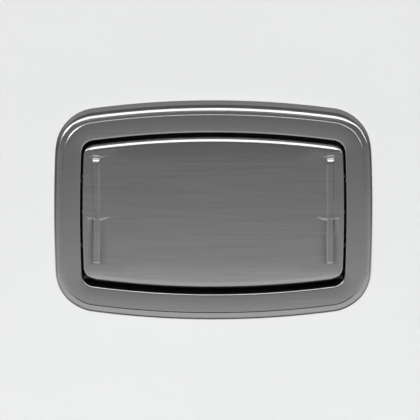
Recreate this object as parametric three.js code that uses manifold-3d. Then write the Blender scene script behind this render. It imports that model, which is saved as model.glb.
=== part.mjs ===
// Wall-mounted folding baby changing station: a bowed stainless steel surround with a
// fold-down door that carries a moulded changing bed, on a concealed hinge rod.
// Frame: X to the right as seen from the room, Y into the wall, Z up, millimetres.
// The wall is the plane Y = 0 and the origin is the middle of the back face.
// "Out" is the distance from the wall into the room, so Y = -out.
// The station is drawn closed, which is how it stands when it isn't in use.

import * as THREE from "three";
import { mergeVertices } from "three/addons/utils/BufferGeometryUtils.js";
import ManifoldModule from "manifold-3d";

const wasm = await ManifoldModule();
wasm.setup();

// Surround.
const SURROUND_WIDTH = 940;
const SURROUND_HEIGHT = 645;
const SURROUND_CORNER = 127;
const BOW_RADIUS = 2680;
const SIDE_RADIUS = 4250;
const FACE_OUT = 100;
const STEEL = 1.6;
const SHOULDER_RADIUS = 20;
const BAND_WIDTH = 25;
const BAND_DROP = 2.8;
const FLANGE_WIDTH = 77.5;
const END_FLANGE = 80;
const OPENING_CORNER = 38;
const INNER_ROLL = 4;
const RETURN_DEPTH = 24;

// Door.
const SIDE_GAP = 6;
const TOP_GAP = 12.3;
const BOTTOM_GAP = 16.7;
const DOOR_PROUD = 2;
const DOOR_CORNER = 35;
const DOOR_ROLL = 20;
const SIDE_ROLL = 5;
const PAN_DEPTH = 30;
const PULL_INSET = 40.5;
const PULL_TOP = 177;
const PULL_LEDGE = -18;
const PULL_BOTTOM = -154;
const UPPER_DEPTH = 6.5;
const LOWER_DEPTH = 10;
const RIB_WIDTH = 17;
const RIB_PROUD = 1.5;
const SCOOP_INNER = 52;
const SCOOP_OUTER = 23;
const SCOOP_FLOOR = 11;
const LEDGE_RISE = 8;
const STIFFENER_WIDTH = 56;
const STIFFENER_CROWN = 28;
const STIFFENER_DEPTH = 17;

// Changing bed.
const BED_INSET = 17;
const BED_CORNER = 46;
const BED_WALL = 4;
const BED_DEPTH = 62;
const BASIN_DEPTH = 32;
const RIM_WIDTH = 24;
const RIM_ROLL = 8;
const BASIN_FLOOR = 98;

// Rear tray.
const TRAY_WALL = 3.5;
const TRAY_BACK = 4;
const POCKET_DEPTH = 1.5;
const STUD_SPACING = 406.4;
const MOUNT_HOLE = 8;
const RAIL_HEIGHT = 34;
const RAIL_THICKNESS = 3;
const RAIL_OVERHANG = 65;
const RAIL_UPPER_Z = 165;
const RAIL_LOWER_Z = -110;

// Hinge.
const HINGE_SETBACK = 15;
const HINGE_RISE = 9.5;
const ROD_DIAMETER = 8;
const KNUCKLE_DIAMETER = 17;
const DAMPER_DIAMETER = 21;
const DAMPER_LENGTH = 66;
const ARM_THICKNESS = 3.2;
const ARM_CLEARANCE = 0.8;
const FOOT_WIDTH = 38;
const FOOT_HEIGHT = 40;
const KNUCKLE_LENGTH = 56;
const CENTRE_KNUCKLE = 140;
const KNUCKLE_INSET = 76.5;
const LEAF_THICKNESS = 3;
const LEAF_REACH = 65;
const COLLAR_LENGTH = 7;
const SPRING_WIRE = 3;
const SPRING_TURNS = 5;

// Strap and buckle.
const STRAP_WIDTH = 38;
const STRAP_THICKNESS = 1.6;

// Liner dispenser.
const LINER_WIDTH = 330;
const LINER_HEIGHT = 124;
const LINER_DEPTH = 22;
const LINER_Z = 40;

// Hooks and bumpers.
const HOOK_INSET = 84.3;
const HOOK_Z = 78;
const BUMPER_INSET = 15;
const BUMPER_Z = 118;

const GAP = 0.3;

// Heights and reaches that follow from the sizes above.
const surround = surroundAt(0);
const opening = surroundAt(FLANGE_WIDTH);
const door = {
  halfWidth: opening.halfWidth - SIDE_GAP,
  halfHeight: opening.halfHeight - (TOP_GAP + BOTTOM_GAP) / 2,
  corner: DOOR_CORNER,
};
const bed = {
  halfWidth: door.halfWidth - BED_INSET,
  halfHeight: door.halfHeight - BED_INSET,
  corner: BED_CORNER,
};
const doorRise = (BOTTOM_GAP - TOP_GAP) / 2;
const doorFaceOut = FACE_OUT + DOOR_PROUD;
const panBackOut = doorFaceOut - PAN_DEPTH;
const rimOut = doorFaceOut - BED_DEPTH;
const floorOut = rimOut + BASIN_DEPTH;
const basinReach = bed.halfHeight - BASIN_FLOOR / 2;
const hingeOut = doorFaceOut - HINGE_SETBACK;
const hingeZ = HINGE_RISE - bowArcs(door).cornerZ - door.corner;
const armTip = ROD_DIAMETER * 0.75;
const armInnerX = cornerReachAt(door, hingeZ + armTip) + ARM_CLEARANCE;
const armOuterX = armInnerX + ARM_THICKNESS;
const rodHalf = armOuterX + 1.6;
const knuckleOuter = door.halfWidth - KNUCKLE_INSET;
const knuckleLength = KNUCKLE_LENGTH;
const centreKnuckle = CENTRE_KNUCKLE / 2;
const damperStart = centreKnuckle + 8;
const damperEnd = damperStart + DAMPER_LENGTH;
const collarEnd = knuckleOuter - knuckleLength - 5;
const collarStart = collarEnd - COLLAR_LENGTH;
const springStart = damperEnd + 8;
const springEnd = collarStart - 0.6;
const leafBack = doorFaceOut - STEEL - GAP - LEAF_THICKNESS;
const leafTop = hingeZ + LEAF_REACH;

const steel = new THREE.MeshStandardMaterial({ color: 0x8d8f92, metalness: 0.9, roughness: 0.35 });
const hardware = new THREE.MeshStandardMaterial({ color: 0xa9acb0, metalness: 0.9, roughness: 0.3 });
const blackSteel = new THREE.MeshStandardMaterial({ color: 0x2b2c2e, metalness: 0.6, roughness: 0.5 });
const shell = new THREE.MeshStandardMaterial({ color: 0xb9bcbd, metalness: 0, roughness: 0.6 });
const trayShell = new THREE.MeshStandardMaterial({ color: 0x4c4d50, metalness: 0, roughness: 0.6 });
const dark = new THREE.MeshStandardMaterial({ color: 0x24262a, metalness: 0, roughness: 0.5 });
const rubber = new THREE.MeshStandardMaterial({ color: 0x1d1d1f, metalness: 0, roughness: 0.9 });
const webbing = new THREE.MeshStandardMaterial({ color: 0x33363b, metalness: 0, roughness: 0.95 });

const station = new THREE.Group();
station.name = "baby_changing_station";

function addPart(name, geometry, material) {
  const mesh = new THREE.Mesh(geometry, material);
  mesh.name = name;
  station.add(mesh);
  return mesh;
}

// The door, the bed and their hinge are laid out about the middle of the door, which hangs a
// little above the middle of the opening.
function addHung(name, geometry, material) {
  const placed = geometry.clone();
  placed.translate(0, 0, doorRise);
  return addPart(name, placed, material);
}

function toSolid(geometry) {
  const bare = geometry.clone();
  bare.deleteAttribute("normal");
  bare.deleteAttribute("uv");
  const welded = mergeVertices(bare, 1e-4);
  const vertProperties = Float32Array.from(welded.attributes.position.array);
  const triVerts = Uint32Array.from(welded.index.array);
  return new wasm.Manifold(new wasm.Mesh({ numProp: 3, vertProperties, triVerts }));
}

function toGeometry(solid) {
  const mesh = solid.getMesh();
  const geometry = new THREE.BufferGeometry();
  geometry.setAttribute("position", new THREE.BufferAttribute(mesh.vertProperties, 3));
  geometry.setIndex(new THREE.BufferAttribute(mesh.triVerts, 1));
  geometry.computeVertexNormals();
  return geometry;
}

function joined(base, ...others) {
  return toGeometry(others.reduce((sum, other) => sum.add(toSolid(other)), toSolid(base)));
}

function cut(base, ...tools) {
  return toGeometry(tools.reduce((rest, tool) => rest.subtract(toSolid(tool)), toSolid(base)));
}

function mirrored(geometry) {
  const copy = geometry.clone();
  copy.scale(-1, 1, 1);
  const order = copy.index ? copy.index.array : null;
  if (order) {
    for (let i = 0; i < order.length; i += 3) {
      [order[i], order[i + 1]] = [order[i + 1], order[i]];
    }
    return copy;
  }
  const spots = copy.attributes.position;
  for (let i = 0; i < spots.count; i += 3) {
    const first = new THREE.Vector3().fromBufferAttribute(spots, i);
    const second = new THREE.Vector3().fromBufferAttribute(spots, i + 1);
    spots.setXYZ(i, second.x, second.y, second.z);
    spots.setXYZ(i + 1, first.x, first.y, first.z);
  }
  copy.deleteAttribute("normal");
  copy.deleteAttribute("uv");
  return copy;
}

function boxBetween(x0, x1, out0, out1, z0, z1) {
  const box = new THREE.BoxGeometry(x1 - x0, out1 - out0, z1 - z0);
  box.translate((x0 + x1) / 2, -(out0 + out1) / 2, (z0 + z1) / 2);
  return box;
}

function rodAlongX(radius, x0, x1, out, z, sides) {
  const rod = new THREE.CylinderGeometry(radius, radius, x1 - x0, sides);
  rod.rotateZ(Math.PI / 2);
  rod.translate((x0 + x1) / 2, -out, z);
  return rod;
}

function rodOutward(radius, out0, out1, x, z, sides) {
  const rod = new THREE.CylinderGeometry(radius, radius, out1 - out0, sides);
  rod.translate(x, -(out0 + out1) / 2, z);
  return rod;
}

// A flat shape in X and Z, given thickness from out0 to out1.
function plateOutward(shape, out0, out1, curveSegments) {
  const plate = new THREE.ExtrudeGeometry(shape, { depth: out1 - out0, bevelEnabled: false, curveSegments });
  plate.rotateX(Math.PI / 2);
  plate.translate(0, -out0, 0);
  return plate;
}

// A flat shape in out and Z, given width from x0 to x1.
function plateAcross(shape, x0, x1, curveSegments) {
  const plate = new THREE.ExtrudeGeometry(shape, { depth: x1 - x0, bevelEnabled: false, curveSegments });
  const turn = new THREE.Matrix4().makeBasis(
    new THREE.Vector3(0, -1, 0),
    new THREE.Vector3(0, 0, 1),
    new THREE.Vector3(-1, 0, 0),
  );
  plate.applyMatrix4(turn);
  plate.translate(x1, 0, 0);
  return plate;
}

function polygon(points) {
  return new THREE.Shape(points.map(([u, v]) => new THREE.Vector2(u, v)));
}

function roundedRectangle(width, height, radius, x, z) {
  const shape = new THREE.Shape();
  const right = x + width / 2;
  const top = z + height / 2;
  const left = x - width / 2;
  const low = z - height / 2;
  shape.moveTo(left + radius, low);
  shape.lineTo(right - radius, low);
  shape.absarc(right - radius, low + radius, radius, -Math.PI / 2, 0, false);
  shape.lineTo(right, top - radius);
  shape.absarc(right - radius, top - radius, radius, 0, Math.PI / 2, false);
  shape.lineTo(left + radius, top);
  shape.absarc(left + radius, top - radius, radius, Math.PI / 2, Math.PI, false);
  shape.lineTo(left, low + radius);
  shape.absarc(left + radius, low + radius, radius, Math.PI, Math.PI * 1.5, false);
  return shape;
}

// The surround's outline at an inset. The face is wider at the top and bottom than at the
// sides, and the opening has much tighter corners than the outside.
function surroundAt(inset) {
  const share = inset / FLANGE_WIDTH;
  return {
    halfWidth: SURROUND_WIDTH / 2 - inset,
    halfHeight: SURROUND_HEIGHT / 2 - END_FLANGE * share,
    corner: SURROUND_CORNER + (OPENING_CORNER - SURROUND_CORNER) * share,
  };
}

// Where the side, top and corner arcs of a bowed rectangle meet. The top and bottom bow
// outward a little, the sides less, and the corner arcs are tangent to both.
function bowArcs({ halfWidth, halfHeight, corner }) {
  const topCentreZ = halfHeight - BOW_RADIUS;
  const sideCentreX = halfWidth - SIDE_RADIUS;
  const topReach = BOW_RADIUS - corner;
  const sideReach = SIDE_RADIUS - corner;
  const span = Math.hypot(sideCentreX, topCentreZ);
  const along = (topReach * topReach - sideReach * sideReach + span * span) / (2 * span);
  const across = Math.sqrt(topReach * topReach - along * along);
  const ux = sideCentreX / span;
  const uz = -topCentreZ / span;
  const cornerX = ux * along + uz * across;
  const cornerZ = topCentreZ + uz * along - ux * across;
  return {
    topCentreZ,
    sideCentreX,
    cornerX,
    cornerZ,
    topAngle: Math.atan2(cornerZ - topCentreZ, cornerX),
    sideAngle: Math.atan2(cornerZ, cornerX - sideCentreX),
  };
}

// The bowed rectangle as points in X and Z, counter-clockwise as seen from the room.
function bowedOutline(size, inset, steps) {
  const arcs = bowArcs(size);
  const quarter = [];
  const sideRadius = SIDE_RADIUS - inset;
  const cornerRadius = size.corner - inset;
  const bowRadius = BOW_RADIUS - inset;
  for (let i = 0; i < steps.side; i += 1) {
    const angle = (arcs.sideAngle * i) / steps.side;
    quarter.push([arcs.sideCentreX + sideRadius * Math.cos(angle), sideRadius * Math.sin(angle)]);
  }
  for (let i = 0; i < steps.corner; i += 1) {
    const angle = arcs.sideAngle + ((arcs.topAngle - arcs.sideAngle) * i) / steps.corner;
    const x = arcs.cornerX + cornerRadius * Math.cos(angle);
    quarter.push([x, arcs.cornerZ + cornerRadius * Math.sin(angle)]);
  }
  for (let i = 0; i <= steps.bow; i += 1) {
    const angle = arcs.topAngle + ((Math.PI / 2 - arcs.topAngle) * i) / steps.bow;
    quarter.push([bowRadius * Math.cos(angle), arcs.topCentreZ + bowRadius * Math.sin(angle)]);
  }
  const upperLeft = quarter.slice(0, -1).reverse().map(([x, z]) => [-x, z]);
  const upper = quarter.concat(upperLeft);
  const lower = upper.slice(1, -1).reverse().map(([x, z]) => [x, -z]);
  return upper.concat(lower);
}

// Skins a row of outlines. Without a loop, both ends are closed with a flat cap.
function skinRings(rings, loop) {
  const count = rings[0].points.length;
  const spots = [];
  const order = [];
  for (const ring of rings) {
    for (const [x, z, ownOut] of ring.points) {
      spots.push(x, -(ownOut ?? ring.out), z);
    }
  }
  const bands = loop ? rings.length : rings.length - 1;
  for (let band = 0; band < bands; band += 1) {
    const near = band * count;
    const far = ((band + 1) % rings.length) * count;
    for (let i = 0; i < count; i += 1) {
      const j = (i + 1) % count;
      order.push(near + i, near + j, far + j, near + i, far + j, far + i);
    }
  }
  if (!loop) {
    const last = (rings.length - 1) * count;
    const backCentre = spots.length / 3;
    spots.push(0, -rings[0].out, 0);
    const frontCentre = spots.length / 3;
    spots.push(0, -rings[rings.length - 1].out, 0);
    for (let i = 0; i < count; i += 1) {
      const j = (i + 1) % count;
      order.push(backCentre, j, i);
      order.push(frontCentre, last + i, last + j);
    }
  }
  const geometry = new THREE.BufferGeometry();
  geometry.setAttribute("position", new THREE.Float32BufferAttribute(spots, 3));
  geometry.setIndex(order);
  geometry.computeVertexNormals();
  return geometry;
}

function surroundRings(profile, steps) {
  return profile.map(([inset, out]) => ({ out, points: bowedOutline(surroundAt(inset), 0, steps) }));
}

function arcProfile(centreInset, centreOut, radius, fromAngle, toAngle, steps) {
  const points = [];
  for (let i = 0; i <= steps; i += 1) {
    const angle = fromAngle + ((toAngle - fromAngle) * i) / steps;
    points.push([centreInset - radius * Math.cos(angle), centreOut + radius * Math.sin(angle)]);
  }
  return points;
}

// Gives an open run of points the thickness of a sheet, on its hidden side.
function sheetProfile(skin, thickness) {
  const hidden = skin.map((point, i) => {
    const before = skin[Math.max(i - 1, 0)];
    const after = skin[Math.min(i + 1, skin.length - 1)];
    const normals = [];
    for (const [a, b] of [[before, point], [point, after]]) {
      const length = Math.hypot(b[0] - a[0], b[1] - a[1]);
      if (length > 0) {
        normals.push([(b[1] - a[1]) / length, -(b[0] - a[0]) / length]);
      }
    }
    const [first] = normals;
    const last = normals[normals.length - 1];
    const scale = thickness / (1 + first[0] * last[0] + first[1] * last[1]);
    return [point[0] + (first[0] + last[0]) * scale, point[1] + (first[1] + last[1]) * scale];
  });
  return skin.concat(hidden.reverse());
}

// A pan-headed screw whose head seats on a face and whose shank runs away from it. It is
// made pointing out of the wall, with the seat at the origin.
function panScrew(headRadius, shankRadius, shankLength) {
  const profile = [
    [0, -shankLength],
    [shankRadius, -shankLength],
    [shankRadius, 0],
    [headRadius, 0],
    [headRadius * 0.78, headRadius * 0.56],
    [0, headRadius * 0.56],
  ].map(([r, h]) => new THREE.Vector2(r, h));
  const screw = new THREE.LatheGeometry(profile, 8);
  screw.rotateX(Math.PI);
  return screw;
}

function screwOutward(headRadius, shankRadius, shankLength, x, out, z) {
  const screw = panScrew(headRadius, shankRadius, shankLength);
  screw.translate(x, -out, z);
  return screw;
}

// The head faces along X, to the right for side 1 and to the left for side -1.
function screwSideways(headRadius, shankRadius, shankLength, x, out, z, side) {
  const screw = panScrew(headRadius, shankRadius, shankLength);
  screw.rotateZ((Math.PI / 2) * side);
  screw.translate(x, -out, z);
  return screw;
}

function sideReachAt(size, z) {
  return size.halfWidth - SIDE_RADIUS + Math.sqrt(SIDE_RADIUS ** 2 - z * z);
}

function cornerReachAt(size, z) {
  const arcs = bowArcs(size);
  return arcs.cornerX + Math.sqrt(size.corner ** 2 - (Math.abs(z) - arcs.cornerZ) ** 2);
}

const FINE = { side: 2, corner: 6, bow: 4 };
const PLAIN = { side: 2, corner: 4, bow: 3 };

// Steel surround: wall, rolled shoulder, gently crowned outer band, small step up to the
// flat face, rolled inner edge and a return going back into the opening.
function surroundSkin() {
  const bandOut = FACE_OUT - BAND_DROP;
  const shoulderOut = bandOut - 0.7 - SHOULDER_RADIUS;
  const rollCentreOut = FACE_OUT - INNER_ROLL;
  const rollCentreInset = FLANGE_WIDTH - INNER_ROLL;
  return [
    [0, 0],
    ...arcProfile(SHOULDER_RADIUS, shoulderOut, SHOULDER_RADIUS, 0, Math.PI * 0.44, 4),
    [BAND_WIDTH - 1.4, bandOut],
    [BAND_WIDTH + 1.4, FACE_OUT - 0.4],
    [BAND_WIDTH + 4, FACE_OUT],
    ...arcProfile(rollCentreInset, rollCentreOut, -INNER_ROLL, -Math.PI / 2, 0, 2),
    [FLANGE_WIDTH, FACE_OUT - RETURN_DEPTH],
  ];
}

const returnScrewOut = FACE_OUT - RETURN_DEPTH * 0.75;
const returnScrewZ = [-95, 95];
const returnInnerX = sideReachAt(opening, returnScrewZ[0]);

function steelSurround() {
  const ring = skinRings(surroundRings(sheetProfile(surroundSkin(), STEEL), FINE), true);
  const holes = [];
  for (const side of [-1, 1]) {
    for (const z of returnScrewZ) {
      const middle = side * returnInnerX;
      holes.push(rodAlongX(2.3, middle - 8, middle + 8, returnScrewOut, z, 10));
    }
  }
  return cut(ring, ...holes);
}

addPart("steel_surround", steelSurround(), steel);

// Rear tray: a moulded back plate with a wall that lines the opening and meets the back
// of the steel face. Shallow pockets in the back leave a grid of ribs against the wall.
const linerInset = FLANGE_WIDTH - STEEL - GAP;
const railHoles = [];
for (const x of [-STUD_SPACING / 2, STUD_SPACING / 2]) {
  for (const z of [RAIL_UPPER_Z, RAIL_LOWER_Z]) {
    railHoles.push([x, z]);
  }
}

function rearTray() {
  const outer = linerInset - TRAY_WALL;
  const lip = FACE_OUT - INNER_ROLL - GAP;
  const profile = [
    [STEEL + GAP, 0],
    [STEEL + GAP, TRAY_BACK],
    [outer, TRAY_BACK],
    [outer, lip],
    [linerInset, lip],
    [linerInset, TRAY_BACK],
  ];
  const tray = skinRings(surroundRings(profile, FINE), false);
  const tools = [];
  const columnEdge = surround.halfWidth * 0.86;
  const rowEdge = surround.halfHeight * 0.8;
  const stud = STUD_SPACING / 2;
  for (const [x0, x1] of [[6, stud - 12], [stud + 12, columnEdge]]) {
    for (const [z0, z1] of [[6, rowEdge], [-rowEdge, -6]]) {
      tools.push(boxBetween(x0, x1, -1, POCKET_DEPTH, z0, z1));
      tools.push(boxBetween(-x1, -x0, -1, POCKET_DEPTH, z0, z1));
    }
  }
  for (const [x, z] of railHoles) {
    tools.push(rodOutward(MOUNT_HOLE / 2, -1, TRAY_BACK + 1, x, z, 16));
  }
  for (const side of [-1, 1]) {
    for (const z of returnScrewZ) {
      const middle = side * returnInnerX;
      tools.push(rodAlongX(2.3, middle - 10, middle + 10, returnScrewOut, z, 10));
    }
  }
  return cut(tray, ...tools);
}

addPart("rear_tray", rearTray(), trayShell);

for (const side of [-1, 1]) {
  returnScrewZ.forEach((z, i) => {
    const seat = side * (returnInnerX - GAP);
    const screw = screwSideways(3.6, 1.8, 9, seat, returnScrewOut, z, -side);
    addPart(`surround_screw_${side < 0 ? "left" : "right"}_${i + 1}`, screw, hardware);
  });
}

// Steel mounting rails inside the tray, drilled on the stud spacing.
function mountingRail(z) {
  const shape = roundedRectangle(STUD_SPACING + RAIL_OVERHANG * 2, RAIL_HEIGHT, 6, 0, z);
  for (const x of [-STUD_SPACING / 2, STUD_SPACING / 2]) {
    const hole = new THREE.Path();
    hole.absarc(x, z, MOUNT_HOLE / 2, 0, Math.PI * 2, true);
    shape.holes.push(hole);
  }
  return plateOutward(shape, TRAY_BACK + GAP, TRAY_BACK + GAP + RAIL_THICKNESS, 4);
}

addPart("mounting_rail_upper", mountingRail(RAIL_UPPER_Z), hardware);
addPart("mounting_rail_lower", mountingRail(RAIL_LOWER_Z), hardware);

// Liner dispenser: an open-fronted box on the back of the tray, a cover with a
// dispensing slot, and a quarter-turn lock whose cam catches a slot in the box.
const linerBack = TRAY_BACK + GAP;
const linerFront = linerBack + LINER_DEPTH;
const coverBack = linerFront + GAP;
const coverFront = coverBack + 3;
const lockZ = LINER_Z + LINER_HEIGHT / 2 - 16;

function linerBox() {
  const outside = roundedRectangle(LINER_WIDTH, LINER_HEIGHT, 14, 0, LINER_Z);
  const inside = roundedRectangle(LINER_WIDTH - 6, LINER_HEIGHT - 6, 11, 0, LINER_Z);
  const block = plateOutward(outside, linerBack, linerFront, 5);
  const hollow = plateOutward(inside, linerBack + 3, linerFront + 1, 5);
  const top = LINER_Z + LINER_HEIGHT / 2;
  const camSlot = boxBetween(-6, 15, linerFront - 6, linerFront - 1, top - 5, top + 2);
  return cut(block, hollow, camSlot);
}

function linerCover() {
  const shape = roundedRectangle(LINER_WIDTH + 8, LINER_HEIGHT + 8, 18, 0, LINER_Z);
  const slot = roundedRectangle(LINER_WIDTH * 0.52, 26, 13, 0, LINER_Z - 18);
  shape.holes.push(slot);
  const plate = plateOutward(shape, coverBack, coverFront, 4);
  const bore = rodOutward(7.5, coverBack - 1, coverFront + 1, 0, lockZ, 14);
  return cut(plate, bore);
}

function linerLock() {
  const profile = [
    [0, coverBack - 4.4],
    [5, coverBack - 4.4],
    [5, coverBack - 1],
    [7, coverBack - 1],
    [7, coverFront + GAP],
    [9, coverFront + GAP],
    [9, coverFront + 1.8],
    [8, coverFront + 2.8],
    [0, coverFront + 2.8],
  ].map(([r, out]) => new THREE.Vector2(r, -out)).reverse();
  const barrel = new THREE.LatheGeometry(profile, 14);
  barrel.translate(0, 0, lockZ);
  const blade = roundedRectangle(8, 20, 3, 0, lockZ + 5);
  const cam = plateOutward(blade, coverBack - 4.4, coverBack - 1.8, 3);
  const keySlot = boxBetween(-0.8, 0.8, coverFront + 1.4, coverFront + 4, lockZ - 4, lockZ + 4);
  return toGeometry(toSolid(barrel).add(toSolid(cam)).subtract(toSolid(keySlot)));
}

addPart("liner_box", linerBox(), shell);
addPart("liner_cover", linerCover(), shell);
addPart("liner_lock", linerLock(), hardware);

// Bag hooks on the back of the tray.
const hookX = bed.halfWidth - HOOK_INSET;
const hookZ = HOOK_Z;
const hookPlateOut = TRAY_BACK + GAP + 4;

function bagHook(x) {
  const plate = plateOutward(roundedRectangle(30, 62, 12, x, hookZ), TRAY_BACK + GAP, hookPlateOut, 4);
  const arc = new THREE.Shape();
  const middle = hookPlateOut + 13;
  arc.moveTo(hookPlateOut - 1, hookZ - 13);
  arc.lineTo(middle, hookZ - 13);
  arc.absarc(middle, hookZ, 13, -Math.PI / 2, 0, false);
  arc.lineTo(middle + 13, hookZ + 6);
  arc.absarc(middle + 10, hookZ + 6, 3, 0, Math.PI, false);
  arc.lineTo(middle + 7, hookZ);
  arc.absarc(middle, hookZ, 7, 0, -Math.PI / 2, true);
  arc.lineTo(hookPlateOut - 1, hookZ - 7);
  const arm = plateAcross(arc, x - 8, x + 8, 4);
  const drills = [-22, 22].map((dz) => rodOutward(2.1, 0, 20, x, hookZ + dz, 10));
  return cut(joined(plate, arm), ...drills);
}

for (const side of [-1, 1]) {
  const label = side < 0 ? "left" : "right";
  addPart(`bag_hook_${label}`, bagHook(side * hookX), dark);
  [-22, 22].forEach((dz, i) => {
    const screw = screwOutward(3.6, 1.8, 4, side * hookX, hookPlateOut + GAP, hookZ + dz);
    addPart(`hook_screw_${label}_${i + 1}`, screw, hardware);
  });
}

// Rubber bumpers that the rim of the bed closes onto.
const bumperX = bed.halfWidth - BUMPER_INSET;
const bumperZ = BUMPER_Z;
const bumperTip = rimOut - GAP;

function bumper() {
  const profile = [
    [0, TRAY_BACK + GAP],
    [12, TRAY_BACK + GAP],
    [12, TRAY_BACK + 3],
    [8, TRAY_BACK + 6],
    [6.5, bumperTip - 3],
    [4, bumperTip],
    [0, bumperTip],
  ].map(([r, out]) => new THREE.Vector2(r, -out)).reverse();
  return new THREE.LatheGeometry(profile, 12);
}

for (const side of [-1, 1]) {
  const stop = bumper();
  stop.translate(side * bumperX, 0, bumperZ);
  addPart(`bumper_${side < 0 ? "left" : "right"}`, stop, rubber);
}

// Hinge brackets: a gusseted arm in the space beside each lower corner of the door, with
// a foot on the back of the tray. They carry the fixed hinge rod.
const footBack = TRAY_BACK + GAP;
const footFront = footBack + ARM_THICKNESS;
const footTop = hingeZ + FOOT_HEIGHT;
const footScrewX = armInnerX - FOOT_WIDTH * 0.58;
const footScrewZ = [hingeZ + FOOT_HEIGHT * 0.13, hingeZ + FOOT_HEIGHT * 0.73];

function hingeBracketRight() {
  const shape = new THREE.Shape();
  shape.moveTo(footBack, hingeZ - armTip);
  shape.lineTo(hingeOut, hingeZ - armTip);
  shape.absarc(hingeOut, hingeZ, armTip, -Math.PI / 2, Math.PI / 2, false);
  shape.lineTo(panBackOut - 10, hingeZ + armTip);
  shape.lineTo(footFront + 22, footTop);
  shape.lineTo(footBack, footTop);
  const arm = plateAcross(shape, armInnerX, armOuterX, 8);
  const foot = boxBetween(armInnerX - FOOT_WIDTH, armInnerX + 1, footBack, footFront, hingeZ - armTip, footTop);
  const bore = rodAlongX(ROD_DIAMETER / 2 + 0.2, armInnerX - 2, armOuterX + 2, hingeOut, hingeZ, 16);
  const drills = footScrewZ.map((z) => rodOutward(2.7, 0, 20, footScrewX, z, 10));
  return cut(joined(arm, foot), bore, ...drills);
}

const bracketRight = hingeBracketRight();
addHung("hinge_bracket_right", bracketRight, blackSteel);
addHung("hinge_bracket_left", mirrored(bracketRight), blackSteel);

for (const side of [-1, 1]) {
  footScrewZ.forEach((z, i) => {
    const screw = screwOutward(4.6, 2.4, ARM_THICKNESS, side * footScrewX, footFront + GAP, z);
    addHung(`bracket_screw_${side < 0 ? "left" : "right"}_${i + 1}`, screw, hardware);
  });
}

// Fixed hinge rod, its clips, the stop pin and the spring collars.
const stopPinX = 0;

function hingeRod() {
  const rod = rodAlongX(ROD_DIAMETER / 2, -rodHalf, rodHalf, hingeOut, hingeZ, 16);
  const crossHole = rodOutward(2.2, hingeOut - 12, hingeOut + 12, stopPinX, hingeZ, 12);
  return cut(rod, crossHole);
}

function ringAlongX(inner, outer, x0, x1, sides) {
  const disc = rodAlongX(outer, x0, x1, hingeOut, hingeZ, sides);
  const bore = rodAlongX(inner, x0 - 1, x1 + 1, hingeOut, hingeZ, sides);
  return cut(disc, bore);
}

addHung("hinge_rod", hingeRod(), blackSteel);
addHung("hinge_stop_pin", rodOutward(2, hingeOut - 8, hingeOut + ROD_DIAMETER / 2 - 0.4, stopPinX, hingeZ, 12), hardware);
const clipRight = ringAlongX(ROD_DIAMETER / 2 + 0.2, ROD_DIAMETER / 2 + 1.6, armOuterX + GAP, armOuterX + 1.3, 16);
addHung("rod_clip_right", clipRight, blackSteel);
addHung("rod_clip_left", mirrored(clipRight), blackSteel);
const collarRight = ringAlongX(ROD_DIAMETER / 2 + 0.2, KNUCKLE_DIAMETER / 2, collarStart, collarEnd, 16);
addHung("spring_collar_right", collarRight, hardware);
addHung("spring_collar_left", mirrored(collarRight), hardware);

// Door: a pressed steel pan with rolled edges. Each pull is a pair of sloping scoops with
// a raised rib down the middle; the scoops are deepest under their upper ledges.
const pullX = door.halfWidth - PULL_INSET;

function blockFromSections(sections) {
  const count = sections[0].length;
  const spots = sections.flat(2);
  const order = [];
  for (let band = 0; band < sections.length - 1; band += 1) {
    for (let i = 0; i < count; i += 1) {
      const j = (i + 1) % count;
      const near = band * count;
      const far = near + count;
      order.push(near + i, near + j, far + j, near + i, far + j, far + i);
    }
  }
  const last = (sections.length - 1) * count;
  for (let i = 1; i < count - 1; i += 1) {
    order.push(0, i + 1, i);
    order.push(last, last + i, last + i + 1);
  }
  const geometry = new THREE.BufferGeometry();
  geometry.setAttribute("position", new THREE.Float32BufferAttribute(spots, 3));
  geometry.setIndex(order);
  return geometry;
}

// One scoop on the right-hand pull, its floor sloping from flush at the bottom. The ledge
// at its top climbs away from the rib on both sides.
function scoop(bottomZ, topZ, depth, sheet) {
  const front = doorFaceOut + 6;
  const section = (z, deep, rise) => {
    const floor = doorFaceOut - deep - sheet;
    const brim = doorFaceOut - sheet;
    const inner = pullX - SCOOP_INNER;
    const outer = pullX + SCOOP_OUTER;
    return [
      [inner, -front, z + rise],
      [outer, -front, z + rise / 2],
      [outer, -brim, z + rise / 2],
      [pullX + SCOOP_FLOOR, -floor, z],
      [pullX - SCOOP_FLOOR, -floor, z],
      [inner, -brim, z + rise],
    ];
  };
  return blockFromSections([section(bottomZ, 0.6, 0), section(topZ + sheet, depth, LEDGE_RISE)]);
}

// The rib: flat-topped, with sloping flanks and ends.
function pullRib(sheet) {
  const half = RIB_WIDTH / 2 - sheet;
  const base = doorFaceOut - LOWER_DEPTH - 8;
  const top = doorFaceOut + RIB_PROUD - sheet;
  const ring = (grow, low, high, out) => [
    [pullX - half - grow, -out, low],
    [pullX + half + grow, -out, low],
    [pullX + half + grow, -out, high],
    [pullX - half - grow, -out, high],
  ];
  const lowEnd = PULL_BOTTOM + 4 + sheet;
  const highEnd = PULL_TOP - 22 - sheet;
  return blockFromSections([
    ring(4, lowEnd - 6, highEnd + 22 + sheet * 2, base),
    ring(0, lowEnd, highEnd, top),
  ]);
}

function pullPocket(sheet) {
  const upper = toSolid(scoop(PULL_LEDGE + 0.5, PULL_TOP, UPPER_DEPTH, sheet));
  const lower = toSolid(scoop(PULL_BOTTOM, PULL_LEDGE, LOWER_DEPTH, sheet));
  return upper.add(lower).subtract(toSolid(pullRib(sheet)));
}

function pressedRib(sheet) {
  const rib = toSolid(pullRib(sheet));
  const keep = toSolid(boxBetween(pullX - 60, pullX + 60, panBackOut - 5, doorFaceOut + 9, -door.halfHeight, door.halfHeight));
  return rib.intersect(keep);
}

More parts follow.
